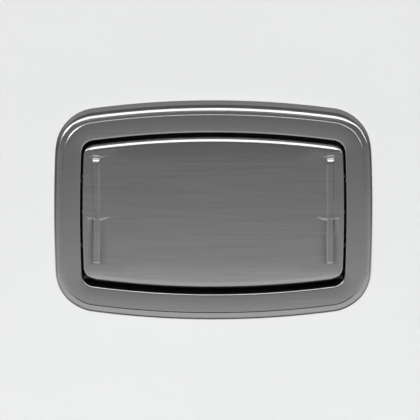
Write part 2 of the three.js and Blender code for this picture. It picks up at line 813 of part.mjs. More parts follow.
// One outline of the door at a turn of its edge roll, on the outside or a sheet further in.
// The roll is broad along the top and bottom and tightens round the corners to the sides.
function rolledRing(turn, sheet) {
  const edge = bowedOutline(door, 0, FINE);
  const further = bowedOutline(door, 1, FINE);
  const points = edge.map(([x, z], i) => {
    const nx = further[i][0] - x;
    const nz = further[i][1] - z;
    const upright = Math.min(Math.abs(nz), 1);
    const roll = SIDE_ROLL + (DOOR_ROLL - SIDE_ROLL) * upright ** 2 * (3 - 2 * upright);
    const inset = roll - (roll - sheet) * Math.cos(turn);
    return [x + nx * inset, z + nz * inset, doorFaceOut - roll + (roll - sheet) * Math.sin(turn)];
  });
  return { out: doorFaceOut - sheet, points };
}

function panRings(back, sheet) {
  const steps = 4;
  const rings = [{ out: back, points: bowedOutline(door, sheet, FINE) }];
  for (let i = 0; i <= steps; i += 1) {
    rings.push(rolledRing((Math.PI / 2) * (i / steps), sheet));
  }
  return rings;
}

const panScrewOut = panBackOut + 4;
const panScrewZ = [-105, 0, 105];

function doorPanel() {
  const block = toSolid(skinRings(panRings(panBackOut, 0), false));
  const hollow = toSolid(skinRings(panRings(panBackOut - 1, STEEL), false));
  const pocketRight = pullPocket(0);
  const behindRight = pullPocket(STEEL);
  const pocket = pocketRight.add(toSolid(mirrored(toGeometry(pocketRight))));
  const behind = behindRight.add(toSolid(mirrored(toGeometry(behindRight))));
  const face = toSolid(boxBetween(
    -door.halfWidth,
    door.halfWidth,
    doorFaceOut - 4,
    doorFaceOut + 9,
    -door.halfHeight,
    door.halfHeight,
  ));
  const ribSkin = pressedRib(0).intersect(face);
  const ribs = ribSkin.add(toSolid(mirrored(toGeometry(ribSkin))));
  const ribBack = pressedRib(STEEL);
  const ribBacks = ribBack.add(toSolid(mirrored(toGeometry(ribBack))));
  const outer = block.add(ribs).subtract(pocket);
  const inner = hollow.subtract(behind).add(ribBacks.subtract(behind));
  let panel = outer.subtract(inner);
  for (const side of [-1, 1]) {
    const [x0, x1] = side < 0 ? [-door.halfWidth - 5, -knuckleOuter - 8] : [knuckleOuter + 8, door.halfWidth + 5];
    panel = panel.subtract(toSolid(rodAlongX(ROD_DIAMETER / 2 + 1.4, x0, x1, hingeOut, hingeZ, 16)));
    for (const z of panScrewZ) {
      const middle = side * door.halfWidth;
      panel = panel.subtract(toSolid(rodAlongX(2.2, middle - 4, middle + 4, panScrewOut, z, 10)));
    }
  }
  return toGeometry(panel);
}

addHung("door_panel", doorPanel(), steel);

// Changing bed: a moulded shell that closes the back of the door pan. A flange sits on
// the pan's edge, a skirt goes inside it, and a raised rim surrounds a shallow basin.
function basinSteps(count) {
  const steps = [];
  for (let i = 0; i <= count; i += 1) {
    const t = i / count;
    const inset = RIM_WIDTH + (basinReach - RIM_WIDTH) * t;
    steps.push({ t, inset, out: rimOut + BASIN_DEPTH * (1 - (1 - t) ** 2) });
  }
  return steps;
}

function basinRing({ t, inset }, out) {
  const size = {
    halfWidth: bed.halfWidth - inset,
    halfHeight: bed.halfHeight - inset,
    corner: bed.corner * (1 - 0.45 * t),
  };
  return { out, points: bowedOutline(size, 0, PLAIN) };
}

const basin = basinSteps(4);

function changingBed() {
  const flangeFront = panBackOut - GAP;
  const flangeBack = flangeFront - BED_WALL;
  const skirtFront = panBackOut + 7.5;
  const onDoor = (inset, out) => ({ out, points: bowedOutline(door, inset, PLAIN) });
  const onBed = (inset, out) => ({ out, points: bowedOutline(bed, inset, PLAIN) });
  const below = basin.map((step) => basinRing(step, step.out + BED_WALL + 0.2)).reverse();
  const above = basin.map((step) => basinRing(step, step.out));
  const skirtInner = STEEL + 0.6 + 3;
  const rings = [
    ...below,
    onBed(RIM_ROLL + 3, rimOut + BED_WALL),
    onBed(BED_WALL, rimOut + RIM_ROLL + 1),
    onBed(BED_WALL, flangeFront),
    onDoor(skirtInner, flangeFront),
    onDoor(skirtInner, skirtFront),
    onDoor(STEEL + 0.6, skirtFront),
    onDoor(STEEL + 0.6, flangeFront),
    onDoor(0.4, flangeFront),
    onDoor(0.4, flangeFront - 2),
    onDoor(2.4, flangeBack),
    onBed(0, flangeBack),
    onBed(0, rimOut + RIM_ROLL),
    onBed(RIM_ROLL * 0.29, rimOut + RIM_ROLL * 0.29),
    onBed(RIM_ROLL, rimOut),
    ...above,
  ];
  const dish = skinRings(rings.reverse(), false);
  const drills = [];
  for (const side of [-1, 1]) {
    for (const z of panScrewZ) {
      const middle = side * door.halfWidth;
      drills.push(rodAlongX(2.2, middle - 9, middle + 3, panScrewOut, z, 10));
      drills.push(rodAlongX(2.2, middle - 3, middle + 9, panScrewOut, z, 10));
    }
  }
  for (const z of [-anchorZ, anchorZ]) {
    for (const x of [-anchorScrewX, anchorScrewX]) {
      const drill = new THREE.CylinderGeometry(2.1, 2.1, 24, 10);
      drill.rotateX(-anchorTilt * Math.sign(z));
      drill.translate(x, -anchorOut, z);
      drills.push(drill);
    }
  }
  return cut(dish, ...drills);
}

function basinOutAt(z) {
  const away = bed.halfHeight - Math.abs(z);
  for (let i = 0; i < basin.length - 1; i += 1) {
    if (away <= basin[i + 1].inset) {
      const share = (away - basin[i].inset) / (basin[i + 1].inset - basin[i].inset);
      return basin[i].out + (basin[i + 1].out - basin[i].out) * share;
    }
  }
  return basin[basin.length - 1].out;
}

const anchorZ = bed.halfHeight - (basin[0].inset + basin[1].inset) / 2;
const anchorOut = basinOutAt(anchorZ);
const anchorTilt = Math.atan2(basin[1].out - basin[0].out, basin[1].inset - basin[0].inset);
const anchorScrewX = STRAP_WIDTH / 2 + 7;

addHung("changing_bed", changingBed(), shell);

for (const side of [-1, 1]) {
  panScrewZ.forEach((z, i) => {
    const seat = side * (sideReachAt(door, z) + GAP);
    const screw = screwSideways(4, 1.9, 5.2, seat, panScrewOut, z, side);
    addHung(`bed_screw_${side < 0 ? "left" : "right"}_${i + 1}`, screw, hardware);
  });
}

// Hinge leaf: a plate against the inside of the door face, with three knuckles on the rod.
// A quarter slot in the middle knuckle meets the stop pin when the bed is level.
function hingeLeaf() {
  const plate = boxBetween(-knuckleOuter, knuckleOuter, leafBack, leafBack + LEAF_THICKNESS, hingeZ + 15, leafTop);
  const radius = KNUCKLE_DIAMETER / 2;
  const web = polygon([
    [hingeOut - 1, hingeZ + 6],
    [hingeOut + 5, hingeZ + 4],
    [leafBack + LEAF_THICKNESS, hingeZ + 15],
    [leafBack + LEAF_THICKNESS, hingeZ + 22],
    [leafBack, hingeZ + 22],
  ]);
  const spans = [
    [-knuckleOuter, -knuckleOuter + knuckleLength],
    [-centreKnuckle, centreKnuckle],
    [knuckleOuter - knuckleLength, knuckleOuter],
  ];
  let leaf = toSolid(plate);
  for (const [x0, x1] of spans) {
    leaf = leaf.add(toSolid(plateAcross(web, x0, x1, 1)));
    leaf = leaf.add(toSolid(rodAlongX(radius, x0, x1, hingeOut, hingeZ, 20)));
  }
  for (const [x0, x1] of spans) {
    const bore = x0 === -centreKnuckle ? ROD_DIAMETER / 2 + 0.3 : ROD_DIAMETER / 2 + 1.6;
    leaf = leaf.subtract(toSolid(rodAlongX(bore, x0 - 1, x1 + 1, hingeOut, hingeZ, 20)));
  }
  const slot = new THREE.Shape();
  const slack = Math.asin(2 / (ROD_DIAMETER / 2 + 0.3)) + 0.03;
  const slotReach = radius + 2;
  slot.moveTo(hingeOut, hingeZ);
  slot.lineTo(hingeOut - slotReach * Math.cos(slack), hingeZ + slotReach * Math.sin(slack));
  slot.absarc(hingeOut, hingeZ, slotReach, Math.PI - slack, Math.PI * 1.5 + slack, false);
  return toGeometry(leaf.subtract(toSolid(plateAcross(slot, stopPinX - 2.6, stopPinX + 2.6, 10))));
}

addHung("hinge_leaf", hingeLeaf(), hardware);

// Flanged plain bearings in the outer knuckles.
function hingeBush() {
  const inner = ROD_DIAMETER / 2 + 0.3;
  const profile = [
    [inner, 0],
    [inner + 1, 0],
    [inner + 1, knuckleLength],
    [inner + 2.4, knuckleLength],
    [inner + 2.4, knuckleLength + 2],
    [inner, knuckleLength + 2],
    [inner, 0],
  ].map(([r, h]) => new THREE.Vector2(r, h));
  const bush = new THREE.LatheGeometry(profile, 12);
  bush.rotateZ(-Math.PI / 2);
  bush.translate(knuckleOuter - knuckleLength + GAP, -hingeOut, hingeZ);
  return bush;
}

const bushRight = hingeBush();
addHung("hinge_bush_right", bushRight, dark);
addHung("hinge_bush_left", mirrored(bushRight), dark);

// Rotary dampers: barrels on the rod, held from turning by a lug against the leaf.
function damper() {
  const radius = DAMPER_DIAMETER / 2;
  const barrel = rodAlongX(radius, damperStart, damperEnd, hingeOut, hingeZ, 20);
  const middle = (damperStart + damperEnd) / 2;
  const lug = boxBetween(middle - 12, middle + 12, hingeOut + 2, leafBack - GAP, hingeZ, hingeZ + 30);
  const bore = rodAlongX(ROD_DIAMETER / 2 + 0.3, damperStart - 1, damperEnd + 1, hingeOut, hingeZ, 20);
  return cut(joined(barrel, lug), bore);
}

const damperRight = damper();
addHung("damper_right", damperRight, dark);
addHung("damper_left", mirrored(damperRight), dark);

// Torsion springs that hold the bed shut and take part of its weight.
class SpringPath extends THREE.Curve {
  getPoint(t, target = new THREE.Vector3()) {
    const coilRadius = ROD_DIAMETER / 2 + SPRING_WIRE / 2 + 1.6;
    const turn = t * SPRING_TURNS * Math.PI * 2;
    const reach = springEnd - springStart - SPRING_WIRE;
    const x = springStart + SPRING_WIRE / 2 + reach * t;
    return target.set(x, -hingeOut - coilRadius * Math.sin(turn), hingeZ + coilRadius * Math.cos(turn));
  }
}

function torsionSpring() {
  const wire = new THREE.Shape();
  wire.absarc(0, 0, SPRING_WIRE / 2, 0, Math.PI * 2, false);
  const round = polygon(wire.getPoints(3).slice(0, -1).map((point) => [point.x, point.y]));
  const steps = SPRING_TURNS * 8;
  const path = new SpringPath();
  return new THREE.ExtrudeGeometry(round, { steps, extrudePath: path, bevelEnabled: false });
}

// The least clear space between one turn of the spring and another.
function springClearance() {
  const perTurn = 24;
  const points = new SpringPath().getPoints(SPRING_TURNS * perTurn);
  let least = Infinity;
  for (let i = 0; i < points.length; i += 1) {
    for (let j = i + perTurn / 2; j < points.length; j += 1) {
      least = Math.min(least, points[i].distanceTo(points[j]));
    }
  }
  return least - SPRING_WIRE;
}

console.log(`torsion spring, least gap between turns: ${springClearance().toFixed(2)} mm`);

const springRight = torsionSpring();
addHung("torsion_spring_right", springRight, hardware);
addHung("torsion_spring_left", mirrored(springRight), hardware);

// Stiffening channels behind the door face.
function stiffener(x) {
  const front = -(doorFaceOut - STEEL - GAP);
  const back = front + STIFFENER_DEPTH;
  const foot = STIFFENER_WIDTH / 2;
  const crown = STIFFENER_CROWN / 2;
  const shape = polygon([
    [x - foot, front],
    [x + foot, front],
    [x + foot, front + STEEL],
    [x + crown, front + STEEL],
    [x + crown, back],
    [x - crown, back],
    [x - crown, front + STEEL],
    [x - foot, front + STEEL],
  ]);
  const low = leafTop + 6;
  const height = door.halfHeight - 36 - low;
  const channel = new THREE.ExtrudeGeometry(shape, { depth: height, bevelEnabled: false });
  channel.translate(0, 0, low);
  const inside = crown - STEEL;
  const hollow = boxBetween(x - inside, x + inside, -back + STEEL, -front + 1, low - 1, low + height + 1);
  return cut(channel, hollow);
}

for (const side of [-1, 1]) {
  addHung(`stiffener_${side < 0 ? "left" : "right"}`, stiffener(side * STUD_SPACING * 0.45), hardware);
}

// Strap: two lengths of webbing lying in the basin, each sewn end under an anchor plate.
// The front length runs through the buckle and its tail lies on the rear length.
function strapProfile(centreLine) {
  return polygon(sheetProfile(centreLine.map(([z, out]) => [out, z]), STRAP_THICKNESS));
}

function alongBasin(fromZ, toZ, lift, count) {
  const line = [];
  for (let i = 0; i <= count; i += 1) {
    const z = fromZ + ((toZ - fromZ) * i) / count;
    line.push([z, basinOutAt(z) - lift]);
  }
  return line;
}

const strapLift = 0.8;
const strapEnd = anchorZ + 9;
const buckleHalf = 24;
const buckleFloor = floorOut - 0.5;
const webbingOut = buckleFloor - 2.4;

function rearStrap() {
  const line = alongBasin(-buckleHalf - 0.8, -strapEnd, strapLift, 7);
  return plateAcross(strapProfile(line), -STRAP_WIDTH / 2, STRAP_WIDTH / 2, 1);
}

function frontStrap() {
  const onBasin = alongBasin(strapEnd, buckleHalf + 14, strapLift, 6);
  const line = [
    ...onBasin,
    [buckleHalf + 2, webbingOut + 0.1],
    [buckleHalf - 6, webbingOut],
    [-buckleHalf + 6, webbingOut],
    [-buckleHalf - 2, webbingOut],
    [-buckleHalf - 16, basinOutAt(buckleHalf + 16) - strapLift - STRAP_THICKNESS - 0.6],
    ...alongBasin(-buckleHalf - 26, -buckleHalf - 74, strapLift + STRAP_THICKNESS + 0.6, 3),
  ];
  return plateAcross(strapProfile(line), -STRAP_WIDTH / 2 + 1, STRAP_WIDTH / 2 - 1, 1);
}

addHung("strap_rear", rearStrap(), webbing);
addHung("strap_front", frontStrap(), webbing);

// Anchor plates over the strap ends, with a joggle down to the bed on each side.
function anchorPlate() {
  const lift = STRAP_THICKNESS + strapLift + 0.5;
  const reach = anchorScrewX + 7;
  const half = STRAP_WIDTH / 2;
  const shape = polygon([
    [-reach, GAP],
    [-half - 1, GAP],
    [-half - 1, lift],
    [half + 1, lift],
    [half + 1, GAP],
    [reach, GAP],
    [reach, GAP + 1.6],
    [half + 2.6, GAP + 1.6],
    [half + 2.6, lift + 1.6],
    [-half - 2.6, lift + 1.6],
    [-half - 2.6, GAP + 1.6],
    [-reach, GAP + 1.6],
  ]);
  const plate = new THREE.ExtrudeGeometry(shape, { depth: 22, bevelEnabled: false });
  plate.translate(0, 0, -11);
  const drills = [-anchorScrewX, anchorScrewX].map((x) => rodOutward(2.2, -20, 20, x, 0, 10));
  return cut(plate, ...drills);
}

for (const side of [-1, 1]) {
  const label = side < 0 ? "rear" : "front";
  const plate = anchorPlate();
  plate.rotateX(-anchorTilt * side);
  plate.translate(0, -anchorOut, side * anchorZ);
  addHung(`strap_anchor_${label}`, plate, hardware);
  [-anchorScrewX, anchorScrewX].forEach((x, i) => {
    const screw = panScrew(3.8, 1.8, 5);
    screw.rotateX(Math.PI);
    screw.translate(0, GAP + 1.6 + GAP, 0);
    screw.rotateX(-anchorTilt * side);
    screw.translate(x, -anchorOut, side * anchorZ);
    addHung(`anchor_screw_${label}_${i + 1}`, screw, hardware);
  });
}

// Cam buckle: a frame with two cheeks, a cross pin, and a lever whose cam bites the strap.
const pinZ = 4;
const pinOut = webbingOut - STRAP_THICKNESS - 6.4;
const cheekInner = STRAP_WIDTH / 2 + 0.8;
const cheekOuter = cheekInner + 2.4;

function buckleFrame() {
  const base = boxBetween(-cheekOuter, cheekOuter, buckleFloor - 1.6, buckleFloor, -buckleHalf, buckleHalf);
  const shape = polygon([
    [buckleFloor, -buckleHalf],
    [buckleFloor, buckleHalf],
    [buckleFloor - 7, buckleHalf],
    [pinOut - 4, pinZ + 6],
    [pinOut - 4, pinZ - 6],
    [buckleFloor - 7, -buckleHalf],
  ]);
  const right = plateAcross(shape, cheekInner, cheekOuter, 1);
  const left = plateAcross(shape, -cheekOuter, -cheekInner, 1);
  const bore = rodAlongX(1.7, -cheekOuter - 1, cheekOuter + 1, pinOut, pinZ, 12);
  return cut(joined(base, right, left), bore);
}

function buckleLever() {
  const half = STRAP_WIDTH / 2 + 0.2;
  const cam = rodAlongX(5.6, -half, half, pinOut, pinZ, 16);
  const blade = polygon([
    [pinOut - 5.5, pinZ + 1],
    [pinOut - 7.6, pinZ - 10],
    [pinOut - 5.4, pinZ - 27],
    [pinOut - 3, pinZ - 26],
    [pinOut - 5, pinZ - 10],
    [pinOut - 3, pinZ + 1],
  ]);
  const bore = rodAlongX(1.8, -half - 1, half + 1, pinOut, pinZ, 12);
  return cut(joined(cam, plateAcross(blade, -half, half, 1)), bore);
}

addHung("buckle_frame", buckleFrame(), hardware);
addHung("buckle_pin", rodAlongX(1.5, -cheekOuter - 0.6, cheekOuter + 0.6, pinOut, pinZ, 12), hardware);
addHung("buckle_lever", buckleLever(), dark);

export default station;
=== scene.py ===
import math

import bmesh
import bpy
from mathutils import Matrix, Vector
from mathutils.geometry import delaunay_2d_cdt


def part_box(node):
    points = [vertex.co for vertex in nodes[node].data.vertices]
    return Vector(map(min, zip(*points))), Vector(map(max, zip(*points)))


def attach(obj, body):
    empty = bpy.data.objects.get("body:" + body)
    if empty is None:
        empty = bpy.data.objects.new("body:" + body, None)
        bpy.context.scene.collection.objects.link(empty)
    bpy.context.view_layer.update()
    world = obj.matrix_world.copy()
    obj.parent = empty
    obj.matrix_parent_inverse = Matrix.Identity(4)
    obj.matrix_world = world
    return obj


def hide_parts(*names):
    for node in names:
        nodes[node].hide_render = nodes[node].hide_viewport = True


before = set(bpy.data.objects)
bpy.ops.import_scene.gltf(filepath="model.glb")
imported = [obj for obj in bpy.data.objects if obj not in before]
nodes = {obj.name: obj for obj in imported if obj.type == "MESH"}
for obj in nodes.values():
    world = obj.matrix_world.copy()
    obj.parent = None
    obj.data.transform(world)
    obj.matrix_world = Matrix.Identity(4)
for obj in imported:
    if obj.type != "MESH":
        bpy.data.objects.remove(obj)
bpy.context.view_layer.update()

MM = 0.001

# Sizes shared with the solid model.
BOW_RADIUS = 2680.0
SIDE_RADIUS = 4250.0
SURROUND = (470.0, 322.5, 127.0)
DOOR = (386.5, 228.0, 35.0)
LOWER_CORNER = 46.0
BED = (369.5, 211.0, 46.0)
FACE_OUT = 100.0
STEEL = 1.6
FLANGE = 77.5
END_FLANGE = 80.0
OPENING_CORNER = 38.0
STEP_START = 22.5
BAND_DROP = 2.4
FACE_SAG = 0.7
DOOR_OUT = 102.0
DOOR_ROLL = 20.0
SIDE_ROLL = 5.0
PAN_BACK = 72.0
RIM_OUT = 40.0
BASIN_DEPTH = 32.0
BASIN_REACH = 162.0
RIM_WIDTH = 24.0
RIM_ROLL = 8.0
BED_WALL = 4.0
PULL_X = 346.0
PULL_TOP = 177.0
PULL_LEDGE = -18.0
PULL_BOTTOM = -154.0
UPPER_DEPTH = 6.5
LOWER_DEPTH = 10.0
RIB_HALF = 8.5
RIB_PROUD = 1.5
HINGE_OUT = 87.0
HINGE_Z = -195.5
STRAP_WIDTH = 38.0
STRAP_THICKNESS = 1.6
EDGE_ROLL = 4.0
RETURN_OUT = 76.0
CLEARANCE = 0.3
TRAY_BACK = 4.0
TRAY_WALL = 3.5
STUD_SPACING = 406.4
STUD_ROWS = (165.0, -110.0)

# The door, the bed and the hinge hang this far above the middle of the opening. Their own
# sizes are taken from the middle of the door.
DOOR_RISE = 2.2

# How many steps an outline takes along a side, round a corner and along half a bow.
FINE_STEPS = (10, 28, 26)
TRAY_STEPS = (8, 18, 20)
WALL_STEPS = (4, 8, 8)


# Shapes

def bow_arcs(size):
    """Centres and angles of the arcs of a bowed rectangle with rounded corners."""
    half_width, half_height, corner = size
    top_z = half_height - BOW_RADIUS
    side_x = half_width - SIDE_RADIUS
    top_reach = BOW_RADIUS - corner
    side_reach = SIDE_RADIUS - corner
    span = math.hypot(side_x, top_z)
    along = (top_reach**2 - side_reach**2 + span**2) / (2 * span)
    across = math.sqrt(top_reach**2 - along**2)
    ux = side_x / span
    uz = -top_z / span
    corner_x = ux * along + uz * across
    corner_z = top_z + uz * along - ux * across
    top_angle = math.atan2(corner_z - top_z, corner_x)
    side_angle = math.atan2(corner_z, corner_x - side_x)
    return top_z, side_x, corner_x, corner_z, top_angle, side_angle


def bowed_outline(size, inset, steps=FINE_STEPS):
    """Points in X and Z, counter-clockwise as seen from the room."""
    top_z, side_x, corner_x, corner_z, top_angle, side_angle = bow_arcs(size)
    side_steps, corner_steps, bow_steps = steps
    side_radius = SIDE_RADIUS - inset
    corner_radius = size[2] - inset
    bow_radius = BOW_RADIUS - inset
    quarter = []
    for i in range(side_steps):
        angle = side_angle * i / side_steps
        quarter.append((side_x + side_radius * math.cos(angle), side_radius * math.sin(angle)))
    for i in range(corner_steps):
        angle = side_angle + (top_angle - side_angle) * i / corner_steps
        x = corner_x + corner_radius * math.cos(angle)
        quarter.append((x, corner_z + corner_radius * math.sin(angle)))
    for i in range(bow_steps + 1):
        angle = top_angle + (math.pi / 2 - top_angle) * i / bow_steps
        quarter.append((bow_radius * math.cos(angle), top_z + bow_radius * math.sin(angle)))
    upper = quarter + [(-x, z) for x, z in reversed(quarter[:-1])]
    lower = [(x, -z) for x, z in reversed(upper[1:-1])]
    return upper + lower


def surround_at(inset):
    """The surround's outline at an inset: wider faces above and below, and a tighter opening."""
    share = inset / FLANGE
    corner = SURROUND[2] + (OPENING_CORNER - SURROUND[2]) * share
    return SURROUND[0] - inset, SURROUND[1] - END_FLANGE * share, corner


def loft(rings, loop=False, cap_first=False, cap_last=False):
    """Skins rings of (out, points), where out is one distance or one for each point."""
    count = len(rings[0][1])
    vertices = []
    for out, points in rings:
        outs = out if isinstance(out, list) else [out] * count
        vertices.extend((x, -own, z) for own, (x, z) in zip(outs, points))
    faces = []
    bands = len(rings) if loop else len(rings) - 1
    for band in range(bands):
        near = band * count
        far = (band + 1) % len(rings) * count
        for i in range(count):
            j = (i + 1) % count
            faces.append((near + i, near + j, far + j, far + i))
    if cap_first:
        faces.append(tuple(reversed(range(count))))
    if cap_last:
        start = (len(rings) - 1) * count
        faces.append(tuple(range(start, start + count)))
    return vertices, faces


def arc_run(centre_inset, centre_out, radius, start, end, steps):
    """Profile points (inset, out) along an arc; angle 0 points to a smaller inset."""
    run = []
    for i in range(steps + 1):
        angle = start + (end - start) * i / steps
        run.append((centre_inset - radius * math.cos(angle), centre_out + radius * math.sin(angle)))
    return run


def smooth_step(t):
    t = min(max(t, 0.0), 1.0)
    return t * t * (3 - 2 * t)


def soft_max(a, b, k):
    h = max(k - abs(a - b), 0.0) / k
    return max(a, b) + h * h * k / 4


def soft_min(a, b, k):
    return -soft_max(-a, -b, k)


def sheet_profile(skin, thickness):
    """Closes an open run of profile points into a sheet of even thickness."""
    hidden = []
    for i, point in enumerate(skin):
        before = skin[max(i - 1, 0)]
        after = skin[min(i + 1, len(skin) - 1)]
        dx = after[0] - before[0]
        dy = after[1] - before[1]
        length = math.hypot(dx, dy)
        hidden.append((point[0] + dy / length * thickness, point[1] - dx / length * thickness))
    return skin + hidden[::-1]


def make_mesh(name, vertices, faces):
    mesh = bpy.data.meshes.new(name)
    mesh.from_pydata([(x * MM, y * MM, z * MM) for x, y, z in vertices], [], faces)
    mesh.validate()
    return mesh


def face_outward(mesh):
    form = bmesh.new()
    form.from_mesh(mesh)
    bmesh.ops.remove_doubles(form, verts=form.verts, dist=1e-6)
    bmesh.ops.recalc_face_normals(form, faces=form.faces)
    form.to_mesh(mesh)
    form.free()


def shade(mesh, angle=32.0):
    for polygon in mesh.polygons:
        polygon.use_smooth = True
    mesh.set_sharp_from_angle(angle=math.radians(angle))


def add_object(name, mesh):
    obj = bpy.data.objects.new(name, mesh)
    bpy.context.scene.collection.objects.link(obj)
    return obj


def dress(obj, body, slot, material, *replaced):
    """Puts a new piece on a body, with its finish, in place of the nodes that it stands for."""
    obj.data.materials.clear()
    obj.data.materials.append(material)
    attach(obj, body)
    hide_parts(*replaced)


def hang(obj):
    """Lifts a piece that is laid out about the door to the door's own height."""
    obj.data.transform(Matrix.Translation((0, 0, DOOR_RISE * MM)))


def apply_modifiers(obj):
    """Turns the piece's modifiers into plain mesh."""
    graph = bpy.context.evaluated_depsgraph_get()
    made = bpy.data.meshes.new_from_object(obj.evaluated_get(graph))
    obj.modifiers.clear()
    old = obj.data
    obj.data = made
    bpy.data.meshes.remove(old)


def cut_away(obj, vertices, faces):
    """Cuts a closed form out of a piece."""
    mesh = make_mesh("cutter", vertices, faces)
    face_outward(mesh)
    cutter = add_object("cutter", mesh)
    cut = obj.modifiers.new("cut", "BOOLEAN")
    cut.operation = "DIFFERENCE"
    cut.solver = "EXACT"
    cut.use_self = True
    cut.object = cutter
    bpy.context.view_layer.update()
    apply_modifiers(obj)
    bpy.data.objects.remove(cutter)
    bpy.data.meshes.remove(mesh)


def inside_polygon(point, polygon):
    inside = False
    last = len(polygon) - 1
    for i, (x, z) in enumerate(polygon):
        other_x, other_z = polygon[last]
        if (z > point.y) != (other_z > point.y):
            if point.x < (other_x - x) * (point.y - z) / (other_z - z) + x:
                inside = not inside
        last = i
    return inside


def closed_edges(start, count):
    return [(start + i, start + (i + 1) % count) for i in range(count)]


def flat_fill(points, edges, holes):
    """Points and triangles that fill a flat outline, apart from its holes."""
    made = delaunay_2d_cdt([Vector(p) for p in points], edges, [], 1, 1e-5)
    spots = made[0]
    triangles = []
    for triangle in made[2]:
        middle = sum((spots[i] for i in triangle), Vector((0, 0))) / 3
        if not any(inside_polygon(middle, hole) for hole in holes):
            triangles.append(triangle)
    return spots, triangles


def tube_faces(rows, count):
    """Faces of a tube of rings, with both ends closed."""
    faces = []
    for row in range(rows - 1):
        near = row * count
        far = near + count
        for i in range(count):
            j = (i + 1) % count
            faces.append((near + i, near + j, far + j, far + i))
    faces.append(tuple(range(count)))
    faces.append(tuple(range((rows - 1) * count, rows * count)))
    return faces


def box_form(x0, x1, out0, out1, z0, z1):
    vertices = [(x, -out, z) for x in (x0, x1) for out in (out0, out1) for z in (z0, z1)]
    faces = [(0, 1, 3, 2), (4, 6, 7, 5), (0, 4, 5, 1), (2, 3, 7, 6), (0, 2, 6, 4), (1, 5, 7, 3)]
    return vertices, faces


def rod_form(axis, radius, start, end, centre, sides=24):
    """A round bar along X or out of the wall. The centre is (out, z) or (x, z)."""
    vertices = []
    for along in (start, end):
        for i in range(sides):
            angle = 2 * math.pi * i / sides
            a = centre[0] + radius * math.cos(angle)
            b = centre[1] + radius * math.sin(angle)
            vertices.append((along, -a, b) if axis == "x" else (a, -along, b))
    faces = [tuple(range(sides)), tuple(reversed(range(sides, 2 * sides)))]
    for i in range(sides):
        j = (i + 1) % sides
        faces.append((i, i + sides, j + sides, j))
    return vertices, faces


def joined_forms(*forms):
    vertices = []
    faces = []
    for more_vertices, more_faces in forms:
        start = len(vertices)
        vertices.extend(more_vertices)
        faces.extend(tuple(i + start for i in face) for face in more_faces)
    return vertices, faces


# Materials

class Shader:
    """A short way to write a node material."""

    def __init__(self, name):
        self.material = bpy.data.materials.new(name)
        self.material.use_nodes = True
        self.tree = self.material.node_tree
        self.surface = self.tree.nodes["Principled BSDF"]

    def add(self, kind, **values):
        node = self.tree.nodes.new(kind)
        for key, value in values.items():
            setattr(node, key, value)
        return node

    def link(self, source, target):
        self.tree.links.new(source, target)

    def place(self, scale, rotation=(0, 0, 0)):
        """Object coordinates, stretched."""
        coords = self.add("ShaderNodeTexCoord")
        mapping = self.add("ShaderNodeMapping")
        mapping.inputs["Scale"].default_value = scale
        mapping.inputs["Rotation"].default_value = rotation
        self.link(coords.outputs["Object"], mapping.inputs["Vector"])
        return mapping.outputs["Vector"]

    def noise(self, vector, scale=1.0, detail=3.0, roughness=0.5):
        node = self.add("ShaderNodeTexNoise")
        node.inputs["Scale"].default_value = scale
        node.inputs["Detail"].default_value = detail
        node.inputs["Roughness"].default_value = roughness
        self.link(vector, node.inputs["Vector"])
        return node.outputs["Fac"]

    def spread(self, value, low, high, from_low=0.3, from_high=0.7):
        node = self.add("ShaderNodeMapRange")
        node.inputs["From Min"].default_value = from_low
        node.inputs["From Max"].default_value = from_high
        node.inputs["To Min"].default_value = low
        node.inputs["To Max"].default_value = high
        self.link(value, node.inputs["Value"])
        return node.outputs["Result"]

    def maths(self, operation, a, b):
        node = self.add("ShaderNodeMath", operation=operation)
        for socket, value in zip(node.inputs, (a, b)):
            if isinstance(value, (int, float)):
                socket.default_value = value
            else:
                self.link(value, socket)
        return node.outputs["Value"]

    def weigh(self, first, first_share, second, second_share):
        """The sum of two values, each times its share."""
        first_part = self.maths("MULTIPLY", first, first_share)
        return self.maths("ADD", first_part, self.maths("MULTIPLY", second, second_share))

    def blend(self, factor, first, second):
        node = self.add("ShaderNodeMix", data_type="RGBA")
        node.inputs["A"].default_value = (*first, 1)
        node.inputs["B"].default_value = (*second, 1)
        self.link(factor, node.inputs["Factor"])
        return node.outputs["Result"]

    def colour(self, value, dark, light, from_low=0.3, from_high=0.7):
        tone = self.spread(value, 0, 1, from_low, from_high)
        self.link(self.blend(tone, dark, light), self.surface.inputs["Base Color"])

    def rough(self, value, low, high):
        self.link(self.spread(value, low, high), self.surface.inputs["Roughness"])

    def bump(self, height, strength, distance):
        node = self.add("ShaderNodeBump")
        node.inputs["Strength"].default_value = strength
        node.inputs["Distance"].default_value = distance
        self.link(height, node.inputs["Height"])
        self.link(node.outputs["Normal"], self.surface.inputs["Normal"])


def brushed_steel(name, dark, light, rough):
    """Satin stainless sheet with a long horizontal grain."""
    shader = Shader(name)
    fine = shader.noise(shader.place((4, 500, 900)), detail=4)
    coarse = shader.noise(shader.place((5, 200, 400)), detail=3)
    cloud = shader.noise(shader.place((3, 3, 3)), detail=2)
    grain = shader.weigh(fine, 0.5, coarse, 0.5)
    shader.colour(shader.weigh(grain, 0.85, cloud, 0.15), dark, light)
    shader.rough(grain, rough - 0.012, rough + 0.012)
    shader.surface.inputs["Metallic"].default_value = 1.0
    shader.bump(fine, 0.012, 0.0002)
    return shader.material


def bright_hardware(name, dark, light, rough):
    """Plated steel for small fittings, with faint handling marks."""
    shader = Shader(name)
    spots = shader.noise(shader.place((160, 160, 160)), detail=4)
    cloud = shader.noise(shader.place((22, 22, 22)), detail=2)
    shader.colour(shader.weigh(spots, 0.5, cloud, 0.5), dark, light)
    shader.rough(spots, rough - 0.06, rough + 0.1)
    shader.surface.inputs["Metallic"].default_value = 1.0
    shader.bump(spots, 0.05, 0.0003)
    return shader.material


